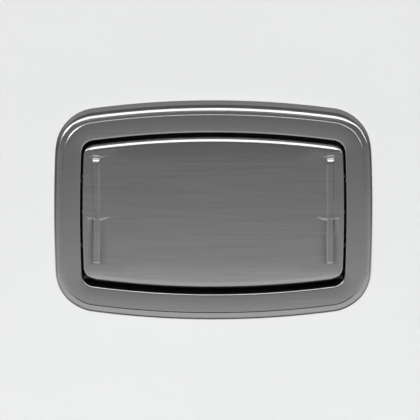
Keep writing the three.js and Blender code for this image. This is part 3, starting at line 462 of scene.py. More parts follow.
def moulded_plastic(name, dark, light, rough, grain_scale=900.0, grain=0.18):
    """Moulded plastic with a fine leather-like grain and slight colour drift."""
    shader = Shader(name)
    pores = shader.add("ShaderNodeTexVoronoi", feature="SMOOTH_F1")
    pores.inputs["Scale"].default_value = grain_scale
    shader.link(shader.place((1, 1, 1)), pores.inputs["Vector"])
    cloud = shader.noise(shader.place((9, 9, 9)), detail=3)
    fine = shader.noise(shader.place((300, 300, 300)), detail=3)
    shader.colour(shader.weigh(cloud, 0.7, fine, 0.3), dark, light)
    shader.rough(fine, rough - 0.06, rough + 0.06)
    shader.bump(pores.outputs["Distance"], grain, 0.0003)
    return shader.material


def woven_webbing(name, dark, light):
    """Flat woven strap: ribs across the strap crossed by the long yarns."""
    shader = Shader(name)
    across = shader.add("ShaderNodeTexWave", wave_type="BANDS", bands_direction="Z")
    across.inputs["Scale"].default_value = 130.0
    across.inputs["Distortion"].default_value = 0.6
    across.inputs["Detail Scale"].default_value = 6.0
    shader.link(shader.place((1, 1, 1)), across.inputs["Vector"])
    along = shader.add("ShaderNodeTexWave", wave_type="BANDS", bands_direction="X")
    along.inputs["Scale"].default_value = 95.0
    along.inputs["Distortion"].default_value = 0.4
    shader.link(shader.place((1, 1, 1)), along.inputs["Vector"])
    fuzz = shader.noise(shader.place((700, 700, 700)), detail=3)
    weave = shader.maths("MULTIPLY", across.outputs["Fac"], along.outputs["Fac"])
    tone = shader.weigh(weave, 0.7, fuzz, 0.5)
    shader.colour(tone, dark, light, 0.1, 0.9)
    shader.rough(fuzz, 0.8, 0.95)
    shader.surface.inputs["Sheen Weight"].default_value = 0.25
    shader.bump(tone, 0.6, 0.0006)
    return shader.material


def plain_stage(name, colour):
    shader = Shader(name)
    cloud = shader.noise(shader.place((1.2, 1.2, 1.2)), detail=2)
    shader.colour(cloud, tuple(c * 0.985 for c in colour), colour)
    shader.surface.inputs["Roughness"].default_value = 0.85
    return shader


STEEL_FINISH = brushed_steel(
    "brushed_steel", dark=(0.405, 0.406, 0.407), light=(0.508, 0.509, 0.51), rough=0.23)
HARDWARE = bright_hardware(
    "hardware_steel", dark=(0.50, 0.50, 0.51), light=(0.63, 0.63, 0.64), rough=0.3)
MOULDED = moulded_plastic(
    "moulded_grey", dark=(0.34, 0.345, 0.35), light=(0.40, 0.405, 0.41), rough=0.5)
BLACK_STEEL = moulded_plastic(
    "black_steel", dark=(0.02, 0.02, 0.021), light=(0.03, 0.03, 0.032), rough=0.7,
    grain_scale=400.0, grain=0.1)
TRAY_PLASTIC = moulded_plastic(
    "moulded_dark", dark=(0.07, 0.071, 0.073), light=(0.09, 0.091, 0.093), rough=0.55)
BLACK_PLASTIC = moulded_plastic(
    "black_plastic", dark=(0.022, 0.022, 0.024), light=(0.035, 0.035, 0.038), rough=0.45,
    grain_scale=700.0, grain=0.25)
RUBBER = moulded_plastic(
    "rubber", dark=(0.014, 0.014, 0.015), light=(0.024, 0.024, 0.025), rough=0.8,
    grain_scale=500.0, grain=0.12)
WEBBING = woven_webbing("webbing", dark=(0.028, 0.03, 0.036), light=(0.085, 0.09, 0.1))


# Steel surround

def surround_skin(shoulder, crease, sink, rise):
    """A profile from the wall over the shoulder, the outer band and the step into the opening.

    The values are the shoulder's radius, the crease's width and depth, and the step's width.
    """
    band_out = FACE_OUT - BAND_DROP
    band_crown = 0.7
    shoulder_out = band_out - band_crown - shoulder
    shoulder_turn = math.pi * 0.44
    shoulder_steps = 18
    skin = [(0.0, out) for out in (0.0, 30.0, 60.0)]
    skin += arc_run(shoulder, shoulder_out, shoulder, 0.0, shoulder_turn, shoulder_steps)
    start_inset, start_out = skin[-1]
    band_steps = 6
    for i in range(1, band_steps + 1):
        t = i / band_steps
        inset = start_inset + (STEP_START - start_inset) * t
        skin.append((inset, start_out + (band_out - start_out) * (1 - (1 - t) ** 2)))
    foot = STEP_START + crease
    skin.append((foot, band_out - sink))
    wall_lean = 0.05
    step_steps = 12
    for i in range(1, step_steps + 1):
        angle = math.pi / 2 * i / step_steps
        inset = foot + wall_lean + rise * (1 - math.cos(angle))
        skin.append((inset, band_out + BAND_DROP * math.sin(angle)))
    start = skin[-1][0]
    roll_start = FLANGE - EDGE_ROLL
    for share in (0.008, 0.1, 0.25, 0.4, 0.55, 0.7, 0.85, 0.95):
        inset = start + (roll_start - start) * share
        skin.append((inset, FACE_OUT - FACE_SAG * share ** 2))
    roll_out = FACE_OUT - FACE_SAG - EDGE_ROLL
    roll_steps = 8
    skin += arc_run(roll_start, roll_out, -EDGE_ROLL, -math.pi / 2, 0.0, roll_steps)
    skin += [(FLANGE, out) for out in (88.0, RETURN_OUT)]
    return skin


def edge_shares():
    """How far each point of the outline belongs to the top, upper corners, sides and bottom."""
    shares = []
    for outer, inner in zip(bowed_outline(SURROUND, 0.0), bowed_outline(SURROUND, 1.0)):
        upward = outer[1] - inner[1]
        top = smooth_step((upward - 0.7) / 0.28)
        corner = (1 - top) * smooth_step((upward + 0.05) / 0.45)
        bottom = smooth_step((-upward - 0.55) / 0.35)
        shares.append((top, corner, 1 - top - corner - bottom, bottom))
    return shares


def steel_surround():
    # The top, the upper corners, the sides and the bottom, as in the shares.
    skins = [
        surround_skin(shoulder=20.0, crease=2.0, sink=0.0, rise=2.2),
        surround_skin(shoulder=11.0, crease=0.6, sink=0.0, rise=9.0),
        surround_skin(shoulder=14.0, crease=0.6, sink=0.0, rise=2.5),
        surround_skin(shoulder=23.0, crease=2.6, sink=4.0, rise=0.4),
    ]
    profiles = [sheet_profile(skin, STEEL) for skin in skins]
    shares = edge_shares()
    rings = []
    for marks in zip(*profiles):
        outlines = [bowed_outline(surround_at(inset), 0.0) for inset, out in marks]
        points = []
        outs = []
        for share, corners in zip(shares, zip(*outlines)):
            x = sum(part * corner[0] for part, corner in zip(share, corners))
            z = sum(part * corner[1] for part, corner in zip(share, corners))
            points.append((x, z))
            outs.append(sum(part * mark[1] for part, mark in zip(share, marks)))
        rings.append((outs, points))
    mesh = make_mesh("surround_shell", *loft(rings, loop=True))
    face_outward(mesh)
    shade(mesh, angle=40)
    obj = add_object("surround_shell", mesh)
    dress(obj, "wall_unit", "brushed_steel", STEEL_FINISH, "steel_surround")


# Door. Across a pull, u is measured from the middle of its rib, and is negative toward the
# middle of the door.

def from_rib(u):
    return max(abs(u) - RIB_HALF, 0.0)


def ledge_height(u, base):
    """The ledge climbs away from the rib, more on the inner side."""
    away = from_rib(u)
    if u < 0:
        return base - 2.5 + 12.0 * smooth_step(away / 44.0)
    return base - 1.0 + 4.0 * smooth_step(away / 16.0)


def beside_rib(u, inner, outer):
    """The share of the scoop's depth beside the rib, which fades to either side."""
    away = from_rib(u)
    if u < 0:
        return inner * max(1 - away / 34.0, 0.0) ** 2.0
    return outer * max(1 - away / 18.0, 0.0) ** 1.1


def under_rib(u, share):
    """Adds the notch, where the scoop has its full depth below the rib's end."""
    fall = 4.0 if u < 0 else 1.2
    return share + (1 - share) * (1 - smooth_step(from_rib(u) / fall))


def smooth_run(t):
    """A straight slope that starts softly."""
    return max(t, 0.0) ** 1.15 if t < 1 else 1.0


def scoop_depth(z, bottom, ledge, lip):
    """The share of the scoop's depth at a height: a long slope, then a ledge."""
    if z <= bottom:
        return 0.0
    slope = smooth_run((z - bottom) / (ledge - bottom))
    return slope * (1 - smooth_step((z - ledge) / lip + 0.5))


def upper_scoop(u, z):
    """Depth of the shallow upper scoop, deepest in the notch above the rib."""
    share = under_rib(u, beside_rib(u, inner=0.06, outer=0.02))
    ledge = ledge_height(u, PULL_TOP - 8.0)
    lip = max(13.0 - 1.5 * from_rib(u), 3.0)
    return UPPER_DEPTH * share * scoop_depth(z, PULL_LEDGE - 2.0, ledge, lip)


def lower_scoop(u, z):
    """Depth of the lower scoop, whose ledge thins out away from the rib."""
    share = beside_rib(u, inner=0.62, outer=0.65)
    ledge = ledge_height(u, PULL_LEDGE)
    lip, thinning = (8.0, 0.25) if u < 0 else (4.0, 0.1)
    lip = max(lip - thinning * from_rib(u), 2.5)
    return LOWER_DEPTH * share * scoop_depth(z, PULL_BOTTOM, ledge, lip)


def rib_depth(u, z):
    """The rib: flanks on both sides, a two-part ramp down into the notch and a sloped heel."""
    above = z - (PULL_TOP - 24.0)
    steepness = 1.0 + 1.2 * smooth_step((above + 6.0) / 6.0) if u < 0 else 5.0
    flank = (abs(u) - RIB_HALF) * steepness
    ramp = soft_max(above * 0.58, above * 1.1 - 3.4, 1.0)
    heel = (PULL_BOTTOM + 5.0 - z) * 1.1
    rib = soft_max(soft_max(flank, ramp, 3.0), heel, 2.0)
    tilt = 0.5 - 0.5 * min(max(u / RIB_HALF, -1.0), 1.0)
    return soft_max(rib, 0.0, 3.0) - RIB_PROUD * tilt


def pull_depth(u, z):
    """Depth of the pull below the door face; negative where it stands proud."""
    floor = max(upper_scoop(u, z), lower_scoop(u, z))
    return soft_min(floor, rib_depth(u, z), 1.6)


def spaced(marks):
    """Positions from (start, end, step) runs, without repeats."""
    found = []
    for start, end, step in marks:
        count = max(1, round((end - start) / step))
        for i in range(count + 1):
            value = start + (end - start) * i / count
            if not found or value - found[-1] > 1e-6:
                found.append(value)
    return found


def roll_at(upright):
    """The door's edge roll: broad along the top and bottom, tight down the sides."""
    return SIDE_ROLL + (DOOR_ROLL - SIDE_ROLL) * smooth_step((upright - 0.55) / 0.45)


def door_outline(inset):
    """The door's outline, with wider corners below than above."""
    upper = bowed_outline(DOOR, inset)
    lower = bowed_outline((DOOR[0], DOOR[1], LOWER_CORNER), inset)
    return [above if above[1] >= 0 else below for above, below in zip(upper, lower)]


def rolled_ring(turn):
    """The door's outline part way round its edge roll."""
    outs = []
    points = []
    for (x, z), (inner_x, inner_z) in zip(door_outline(0.0), door_outline(1.0)):
        roll = roll_at(abs(inner_z - z))
        inset = roll * (1 - math.cos(turn))
        points.append((x + (inner_x - x) * inset, z + (inner_z - z) * inset))
        outs.append(DOOR_OUT - roll * (1 - math.sin(turn)))
    return outs, points


def crossing(edge, x):
    """The upper height at which an outline crosses a given X."""
    heights = []
    for (x0, z0), (x1, z1) in zip(edge, edge[1:] + edge[:1]):
        if (x0 - x) * (x1 - x) <= 0 and x0 != x1:
            heights.append(z0 + (z1 - z0) * (x - x0) / (x1 - x0))
    return max(heights)


def pull_grid(side, edge):
    """The stretch of face round one pull, as a grid of points. Its top follows the face's edge."""
    low = PULL_BOTTOM - 12.0
    bend = PULL_TOP - 12.0
    high = PULL_TOP + 10.0
    rows = spaced([
        (low, PULL_BOTTOM - 2, 4.0),
        (PULL_BOTTOM - 2, PULL_BOTTOM + 10, 0.8),
        (PULL_BOTTOM + 10, PULL_LEDGE - 14, 4.0),
        (PULL_LEDGE - 14, PULL_LEDGE + 14, 0.8),
        (PULL_LEDGE + 14, PULL_TOP - 34, 5.0),
        (PULL_TOP - 34, high, 0.8),
    ])
    inner = -58.0
    outer = 27.0
    columns = spaced([
        (inner, -18, 2.0),
        (-18, -5, 0.6),
        (-5, 5, 2.0),
        (5, 13, 0.6),
        (13, outer, 1.4),
    ])
    grid = []
    for z in rows:
        line = []
        for u in columns:
            top = crossing(edge, PULL_X + u) - 0.8
            place = z if z <= bend else bend + (z - bend) * (top - bend) / (high - bend)
            margin = min((outer - u) / 5.0, (u - inner) / 6.0, (top - place) / 3.0, 1.0)
            depth = pull_depth(u, place) * smooth_step(margin)
            line.append((side * (PULL_X + u), depth - DOOR_OUT, place))
        grid.append(line)
    return grid


def grid_border(grid):
    """The points round the edge of a grid, in order."""
    width = len(grid[0])
    border = list(grid[0])
    border += [grid[i][-1] for i in range(1, len(grid))]
    border += [grid[-1][i] for i in range(width - 2, -1, -1)]
    border += [grid[i][0] for i in range(len(grid) - 2, 0, -1)]
    return border


def door_panel():
    edge_mark = 78.0
    rings = [(out, door_outline(0.0)) for out in (PAN_BACK, edge_mark)]
    steps = 16
    rings += [rolled_ring(math.pi / 2 * i / steps) for i in range(steps + 1)]
    vertices, faces = loft(rings)
    edge = rings[-1][1]
    flat_points = list(edge)
    flat_edges = closed_edges(0, len(edge))
    holes = []
    for side in (1, -1):
        grid = pull_grid(side, edge)
        start = len(vertices)
        width = len(grid[0])
        vertices.extend(p for line in grid for p in line)
        for row in range(len(grid) - 1):
            for column in range(width - 1):
                a = start + row * width + column
                faces.append((a, a + 1, a + width + 1, a + width))
        border = [(x, z) for x, y, z in grid_border(grid)]
        flat_edges.extend(closed_edges(len(flat_points), len(border)))
        flat_points.extend(border)
        holes.append(border)
    flat_points.extend((x, z) for x in range(-240, 241, 60) for z in range(-150, 151, 50))
    spots, triangles = flat_fill(flat_points, flat_edges, holes)
    start = len(vertices)
    vertices.extend((p.x, -DOOR_OUT, p.y) for p in spots)
    faces.extend(tuple(start + i for i in triangle) for triangle in triangles)
    mesh = make_mesh("door_skin", vertices, faces)
    face_outward(mesh)
    obj = add_object("door_skin", mesh)
    sheet = obj.modifiers.new("sheet", "SOLIDIFY")
    sheet.thickness = STEEL * MM
    sheet.offset = -1.0
    bpy.context.view_layer.update()
    apply_modifiers(obj)
    hole_radius = 5.4
    hole_start = 318.0
    hole_end = DOOR[0] + 5.0
    passages = []
    for side in (-1, 1):
        ends = (side * hole_start, side * hole_end)
        passages.append(rod_form("x", hole_radius, *ends, (HINGE_OUT, HINGE_Z)))
    cut_away(obj, *joined_forms(*passages))
    shade(obj.data, angle=34)
    hang(obj)
    dress(obj, "bed", "brushed_steel", STEEL_FINISH, "door_panel")


# Changing bed

def basin_out(inset):
    """Depth of the bed's upper surface by distance from its edge, with a rounded brim."""
    past = inset - RIM_WIDTH
    brim = 30.0
    eased = (math.sqrt(past * past + brim) + past) / 2
    t = min(eased / (BASIN_REACH - RIM_WIDTH), 1.0)
    return RIM_OUT + BASIN_DEPTH * (1 - (1 - t) ** 2)


def basin_ring(inset, out):
    """A ring of the basin, whose corners tighten toward its floor."""
    t = min(max((inset - RIM_WIDTH) / (BASIN_REACH - RIM_WIDTH), 0.0), 1.0)
    size = (BED[0] - inset, BED[1] - inset, BED[2] * (1 - 0.45 * t))
    return out, bowed_outline(size, 0.0)


def changing_bed():
    flange_front = PAN_BACK - CLEARANCE
    flange_back = flange_front - BED_WALL
    flange_edge = 0.4
    skirt_front = PAN_BACK + 7.5
    skirt_outer = STEEL + 0.6
    skirt_inner = skirt_outer + 3

    def on_door(inset, out):
        return out, door_outline(inset)

    def on_bed(inset, out):
        return out, bowed_outline(BED, inset)

    brim_start = RIM_WIDTH - 6
    count = 34
    marks = [brim_start + i * (BASIN_REACH - brim_start) / count for i in range(count + 1)]
    above = [basin_ring(inset, basin_out(inset)) for inset in marks]
    below = [basin_ring(inset, basin_out(inset) + BED_WALL + 0.2) for inset in marks]
    rings = below[::-1]
    rings += [on_bed(RIM_ROLL + 3, RIM_OUT + BED_WALL), on_bed(BED_WALL, RIM_OUT + RIM_ROLL + 1)]
    rings += [on_bed(BED_WALL, flange_front), on_door(skirt_inner, flange_front)]
    rings += [on_door(skirt_inner, skirt_front), on_door(skirt_outer, skirt_front)]
    rings += [on_door(skirt_outer, flange_front), on_door(flange_edge, flange_front)]
    rings += [on_door(flange_edge, flange_front - 2.0), on_door(1.0, flange_back + 0.6)]
    rings += [on_door(2.4, flange_back)]
    fillet = 4.0
    fillet_steps = 6
    for i in range(fillet_steps + 1):
        angle = math.pi / 2 * i / fillet_steps
        out = flange_back - fillet + fillet * math.cos(angle)
        rings.append(on_bed(-fillet + fillet * math.sin(angle), out))
    roll_steps = 8
    for i in range(roll_steps + 1):
        angle = math.pi / 2 * i / roll_steps
        out = RIM_OUT + RIM_ROLL * (1 - math.sin(angle))
        rings.append(on_bed(RIM_ROLL * (1 - math.cos(angle)), out))
    rings += above
    mesh = make_mesh("bed_shell", *loft(rings, cap_first=True, cap_last=True))
    face_outward(mesh)
    shade(mesh, angle=38)
    obj = add_object("bed_shell", mesh)
    hang(obj)
    dress(obj, "bed", "moulded_grey", MOULDED, "changing_bed")


# Rear tray

def pocket_form(x0, x1, z0, z1):
    """The cutter of a shallow pocket with sloping walls."""
    depth = 2.0
    slope = 7.5
    vertices, faces = box_form(x0, x1, -1.0, depth, z0, z1)
    middle_x = (x0 + x1) / 2
    middle_z = (z0 + z1) / 2
    sloped = []
    for x, y, z in vertices:
        inward = slope if y < 0 else 0.0
        new_x = x - math.copysign(inward, x - middle_x)
        sloped.append((new_x, y, z - math.copysign(inward, z - middle_z)))
    return sloped, faces


def rear_tray():
    liner = FLANGE - STEEL - CLEARANCE
    outer = liner - TRAY_WALL
    lip = FACE_OUT - EDGE_ROLL - CLEARANCE
    edge = STEEL + CLEARANCE
    back = TRAY_BACK
    foot = 4.0
    chamfer = 0.8
    profile = [(edge, 0.0), (edge, back - chamfer), (edge + chamfer, back), (outer - foot, back)]
    profile += [(outer, back + foot), (outer, lip - chamfer), (outer + chamfer, lip)]
    profile += [(liner - chamfer, lip), (liner, lip - chamfer)]
    fillet = 5.0
    steps = 6
    for i in range(steps + 1):
        angle = math.pi / 2 * i / steps
        out = back + fillet * (1 - math.sin(angle))
        profile.append((liner + fillet * (1 - math.cos(angle)), out))
    rings = [(out, bowed_outline(surround_at(inset), 0.0, TRAY_STEPS)) for inset, out in profile]
    mesh = make_mesh("tray_shell", *loft(rings, cap_first=True, cap_last=True))
    face_outward(mesh)
    obj = add_object("tray_shell", mesh)
    stud = STUD_SPACING / 2
    stud_hole = 4.0
    half_rib = 6
    stud_margin = 12
    column_edge = SURROUND[0] * 0.86
    row_edge = SURROUND[1] * 0.8
    forms = []
    for x0, x1 in ((half_rib, stud - stud_margin), (stud + stud_margin, column_edge)):
        for z0, z1 in ((half_rib, row_edge), (-row_edge, -half_rib)):
            forms.append(pocket_form(x0, x1, z0, z1))
            forms.append(pocket_form(-x1, -x0, z0, z1))
    for x in (-stud, stud):
        for z in STUD_ROWS:
            forms.append(rod_form("out", stud_hole, -2.0, TRAY_BACK + 2.0, (x, z)))
    cut_away(obj, *joined_forms(*forms))
    shade(obj.data, angle=18)
    dress(obj, "wall_unit", "moulded_dark", TRAY_PLASTIC, "rear_tray")


# Screws

def screw_mesh(head, shank, length):
    """A pan-head screw with a cross recess, seated at the origin and facing along -Y."""
    crown = head * 0.56
    rim = head * 0.2
    profile = [(shank * 0.7, length), (shank, length - 0.6), (shank, 0.0), (head * 0.96, 0.0)]
    profile += [(head, -head * 0.07), (head, -rim)]
    dome_steps = 6
    for i in range(1, dome_steps):
        angle = math.pi / 2 * i / dome_steps
        height = rim + (crown - rim) * math.sin(angle)
        profile.append((head * (0.3 + 0.7 * math.cos(angle)), -height))
    profile.append((head * 0.28, -crown))
    sides = 20
    vertices = []
    for r, y in profile:
        for i in range(sides):
            angle = 2 * math.pi * i / sides
            vertices.append((r * math.cos(angle), y, r * math.sin(angle)))
    mesh = make_mesh("screw", vertices, tube_faces(len(profile), sides))
    face_outward(mesh)
    holder = add_object("screw_holder", mesh)
    arm = head * 0.5
    half = head * 0.11
    floor = crown - head * 0.3
    recess = joined_forms(
        box_form(-arm, arm, floor, head, -half, half),
        box_form(-half, half, floor, head, -arm, arm),
    )
    cut_away(holder, *recess)
    made = holder.data
    bpy.data.objects.remove(holder)
    shade(made, angle=35)
    made.materials.append(HARDWARE)
    return made


def place_screw(node, mesh, body, turn):
    """Sets a turned screw at the middle of the node that it stands for."""
    low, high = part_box(node)
    obj = add_object(node.replace("screw", "fixing"), mesh)
    obj.matrix_world = turn
    bpy.context.view_layer.update()
    corners = [turn.to_3x3() @ v.co for v in mesh.vertices]
    own_low = Vector(min(c[i] for c in corners) for i in range(3))
    own_high = Vector(max(c[i] for c in corners) for i in range(3))
    obj.matrix_world = Matrix.Translation((low + high) / 2 - (own_low + own_high) / 2) @ turn
    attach(obj, body)
    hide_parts(node)


def all_screws():
    side_turn = {side: Matrix.Rotation(side * math.pi / 2, 4, "Z") for side in (1, -1)}
    return_screw = screw_mesh(head=3.6, shank=1.8, length=9.0)
    pan_screw = screw_mesh(head=4.0, shank=1.9, length=5.2)
    hook_screw = screw_mesh(head=3.6, shank=1.8, length=4.0)
    foot_screw = screw_mesh(head=4.6, shank=2.4, length=3.2)
    anchor_screw = screw_mesh(head=3.8, shank=1.8, length=5.0)
    front = Matrix.Identity(4)
    for side, label in ((-1, "left"), (1, "right")):
        for i in (1, 2):
            place_screw(f"surround_screw_{label}_{i}", return_screw, "wall_unit", side_turn[-side])
            place_screw(f"hook_screw_{label}_{i}", hook_screw, "wall_unit", front)
            place_screw(f"bracket_screw_{label}_{i}", foot_screw, "wall_unit", front)
        for i in (1, 2, 3):
            place_screw(f"bed_screw_{label}_{i}", pan_screw, "bed", side_turn[side])
    # The slope of the basin's wall under the strap anchors.
    tilt = math.atan2(14.0, 34.5)
    for side, label in ((-1, "rear"), (1, "front")):
        turn = Matrix.Rotation(-tilt * side, 4, "X") @ Matrix.Rotation(math.pi, 4, "Z")
        for i in (1, 2):
            place_screw(f"anchor_screw_{label}_{i}", anchor_screw, "bed", turn)


# Straps

def curve_at(t, a, b, c, d):
    """A smooth curve from b to c, with a before it and d after it."""
    square = 2 * a - 5 * b + 4 * c - d
    cube = 3 * b - a - 3 * c + d
    return 0.5 * (2 * b + (c - a) * t + square * t * t + cube * t**3)


def strap_path(points, step):
    """Evenly spaced points along a smooth line through (z, out) marks."""
    dense = []
    count = len(points)
    for i in range(count - 1):
        p0 = points[max(i - 1, 0)]
        p1 = points[i]
        p2 = points[i + 1]
        p3 = points[min(i + 2, count - 1)]
        pieces = max(2, int(math.dist(p1, p2) / step))
        for j in range(pieces):
            t = j / pieces
            dense.append(tuple(curve_at(t, *values) for values in zip(p0, p1, p2, p3)))
    dense.append(points[-1])
    return dense


def strap_mesh(name, points, width):
    """Webbing of even thickness with rounded selvedges, following a line in Z and out."""
    path = strap_path(points, 2.0)
    half = STRAP_THICKNESS / 2
    reach = width / 2 - half
    flat_steps = 8
    edge_steps = 4
    section = []
    for side in (-1, 1):
        for i in range(edge_steps + 1):
            angle = -side * math.pi / 2 + math.pi * i / edge_steps
            section.append((side * reach + half * math.cos(angle), half * math.sin(angle)))
        for i in range(1, flat_steps):
            section.append((side * (reach - 2 * reach * i / flat_steps), side * half))
    vertices = []
    for i, (z, out) in enumerate(path):
        before = path[max(i - 1, 0)]
        after = path[min(i + 1, len(path) - 1)]
        dz = after[0] - before[0]
        do = after[1] - before[1]
        length = math.hypot(dz, do)
        nz, no = -do / length, dz / length
        for x, lift in section:
            vertices.append((x, -(out + no * lift), z + nz * lift))
    mesh = make_mesh(name, vertices, tube_faces(len(path), len(section)))
    face_outward(mesh)
    shade(mesh, angle=60)
    return mesh


def basin_at(z):
    """The flat-sided basin of the solid model, below the strap."""
    away = BED[1] - abs(z)
    steps = 4
    marks = []
    for i in range(steps + 1):
        t = i / steps
        inset = RIM_WIDTH + (BASIN_REACH - RIM_WIDTH) * t
        marks.append((inset, RIM_OUT + BASIN_DEPTH * (1 - (1 - t) ** 2)))
    for (a, out_a), (b, out_b) in zip(marks, marks[1:]):
        if away <= b:
            return out_a + (out_b - out_a) * (away - a) / (b - a)
    return marks[-1][1]


def along_basin(start, end, lift, count):
    """Marks (z, out) along the basin, lifted off its surface."""
    line = []
    for i in range(count + 1):
        z = start + (end - start) * i / count
        line.append((z, basin_at(z) - lift))
    return line


def straps():
    air = 0.8
    middle = air + STRAP_THICKNESS / 2
    over_rear = middle + STRAP_THICKNESS + 0.6
    strap_end = 178.7
    half_buckle = 24.0
    web_out = 69.1 - STRAP_THICKNESS / 2
    rear = along_basin(-half_buckle - air, -strap_end, middle, 12)
    front = along_basin(strap_end, half_buckle + 14, middle, 10)
    front.append((half_buckle + 2, web_out + 0.1))
    for z in (half_buckle - 6, 0.0, -half_buckle + 6, -half_buckle - 2):
        front.append((z, web_out))
    front.append((-half_buckle - 16, basin_at(half_buckle + 16) - over_rear))
    front += along_basin(-half_buckle - 26, -half_buckle - 74, over_rear, 4)
    for end, line, width in (("rear", rear, STRAP_WIDTH), ("front", front, STRAP_WIDTH - 2)):
        name = f"strap_{end}_webbing"
        obj = add_object(name, strap_mesh(name, line, width))
        hang(obj)
        dress(obj, "bed", "webbing", WEBBING, f"strap_{end}")


# Nodes that keep their solid shape

def smooth_group():
    """Geometry nodes that shade smooth across small angles and sharp across large ones."""
    group = bpy.data.node_groups.new("smooth_small_angles", "GeometryNodeTree")
    group.interface.new_socket("Geometry", in_out="INPUT", socket_type="NodeSocketGeometry")
    group.interface.new_socket("Geometry", in_out="OUTPUT", socket_type="NodeSocketGeometry")
    start = group.nodes.new("NodeGroupInput")
    end = group.nodes.new("NodeGroupOutput")
    all_smooth = group.nodes.new("GeometryNodeSetShadeSmooth")
    all_smooth.domain = "FACE"
    angle = group.nodes.new("GeometryNodeInputMeshEdgeAngle")
    steep = group.nodes.new("FunctionNodeCompare")
    steep.data_type = "FLOAT"
    steep.operation = "GREATER_THAN"
    steep.inputs["B"].default_value = math.radians(34)
    sharp = group.nodes.new("GeometryNodeSetShadeSmooth")
    sharp.domain = "EDGE"
    sharp.inputs["Shade Smooth"].default_value = False
    group.links.new(start.outputs[0], all_smooth.inputs["Geometry"])
    group.links.new(angle.outputs["Unsigned Angle"], steep.inputs["A"])
    group.links.new(all_smooth.outputs["Geometry"], sharp.inputs["Geometry"])
    group.links.new(steep.outputs["Result"], sharp.inputs["Selection"])
    group.links.new(sharp.outputs["Geometry"], end.inputs[0])
    return group


def finish_node(name, material, group, round_off):
    """Gives a node its finish, small rounded edges and smooth shading."""
    obj = nodes[name]
    obj.data.materials.clear()
    obj.data.materials.append(material)
    weld = obj.modifiers.new("weld", "WELD")
    weld.merge_threshold = 1e-6
    if round_off:
        bevel = obj.modifiers.new("round", "BEVEL")
        bevel.width = round_off * MM
        bevel.segments = 2
        bevel.limit_method = "ANGLE"
        bevel.angle_limit = math.radians(40)
    smooth = obj.modifiers.new("smooth", "NODES")
    smooth.node_group = group


def kept_nodes():
    group = smooth_group()
    plain = {
        "mounting_rail_upper": (HARDWARE, 0.5),
        "mounting_rail_lower": (HARDWARE, 0.5),
        "liner_box": (MOULDED, 0.7),
        "liner_cover": (MOULDED, 0.8),
        "liner_lock": (HARDWARE, 0.25),
        "hinge_rod": (BLACK_STEEL, 0.4),
        "hinge_stop_pin": (HARDWARE, 0.3),
        "hinge_leaf": (HARDWARE, 0.5),
        "buckle_frame": (HARDWARE, 0.4),
        "buckle_pin": (HARDWARE, 0.25),
        "buckle_lever": (BLACK_PLASTIC, 0.5),
    }
    for side in ("left", "right"):
        plain[f"bag_hook_{side}"] = (BLACK_PLASTIC, 0.9)
        plain[f"bumper_{side}"] = (RUBBER, 0.6)
        plain[f"hinge_bracket_{side}"] = (BLACK_STEEL, 0.5)
        plain[f"rod_clip_{side}"] = (BLACK_STEEL, 0.15)
        plain[f"spring_collar_{side}"] = (HARDWARE, 0.4)
        plain[f"hinge_bush_{side}"] = (BLACK_PLASTIC, 0.2)
        plain[f"damper_{side}"] = (BLACK_PLASTIC, 0.6)
        plain[f"torsion_spring_{side}"] = (HARDWARE, 0.0)
        plain[f"stiffener_{side}"] = (HARDWARE, 0.4)
    for end in ("rear", "front"):
        plain[f"strap_anchor_{end}"] = (HARDWARE, 0.4)
    for name, (material, round_off) in plain.items():
        finish_node(name, material, group, round_off)


# Stage, camera and lights

def stage():
    """A pale wall, open behind the unit and clear from its far side, and a pale floor."""
    wall_y = 1.0
    reach = 6000.0
    hole = bowed_outline(surround_at(8.0), 0.0, WALL_STEPS)
    corners = [(reach, -reach), (reach, reach), (-reach, reach), (-reach, -reach)]
    edges = closed_edges(0, len(hole)) + closed_edges(len(hole), len(corners))
    spots, triangles = flat_fill(hole + corners, edges, [hole])
    mesh = make_mesh("wall", [(p.x, wall_y, p.y) for p in spots], triangles)
    form = bmesh.new()
    form.from_mesh(mesh)
    for face in form.faces:
        if face.normal.y > 0:
            face.normal_flip()
    form.to_mesh(mesh)
    form.free()
    wall = add_object("wall", mesh)
    wall.visible_glossy = False
    shader = plain_stage("wall_paint", (0.80, 0.805, 0.81))
    clear = shader.add("ShaderNodeBsdfTransparent")
    seen = shader.add("ShaderNodeNewGeometry")
    mix = shader.add("ShaderNodeMixShader")
    output = shader.tree.nodes["Material Output"]
    shader.link(seen.outputs["Backfacing"], mix.inputs["Fac"])
    shader.link(shader.surface.outputs["BSDF"], mix.inputs[1])
    shader.link(clear.outputs["BSDF"], mix.inputs[2])
    shader.link(mix.outputs["Shader"], output.inputs["Surface"])
    mesh.materials.append(shader.material)
    floor_z = -1150.0
    near_y = -9000.0
    ring = [(-reach, wall_y), (reach, wall_y), (reach, near_y), (-reach, near_y)]
    floor_mesh = make_mesh("floor", [(x, y, floor_z) for x, y in ring], [(0, 1, 2, 3)])
    floor = add_object("floor", floor_mesh)
    floor.visible_glossy = False
    floor_mesh.materials.append(plain_stage("floor_paint", (0.78, 0.78, 0.78)).material)
    return wall, floor


def aim(obj, target):
    direction = Vector(target) - obj.location
    obj.rotation_mode = "QUATERNION"
    obj.rotation_quaternion = direction.to_track_quat("-Z", "Y")


def camera():
    """A distant camera, a little above level. Its lengths are in metres."""
    elevation = math.radians(10.12)
    distance = 25.0
    target = Vector((-0.00975, -0.1, 0.0109))
    data = bpy.data.cameras.new("camera")
    data.sensor_width = 36.0
    data.lens = 726.2
    data.clip_end = 60.0
    obj = bpy.data.objects.new("camera", data)
    bpy.context.scene.collection.objects.link(obj)
    obj.location = target + Vector((0, -math.cos(elevation), math.sin(elevation))) * distance
    aim(obj, target)
    bpy.context.scene.camera = obj


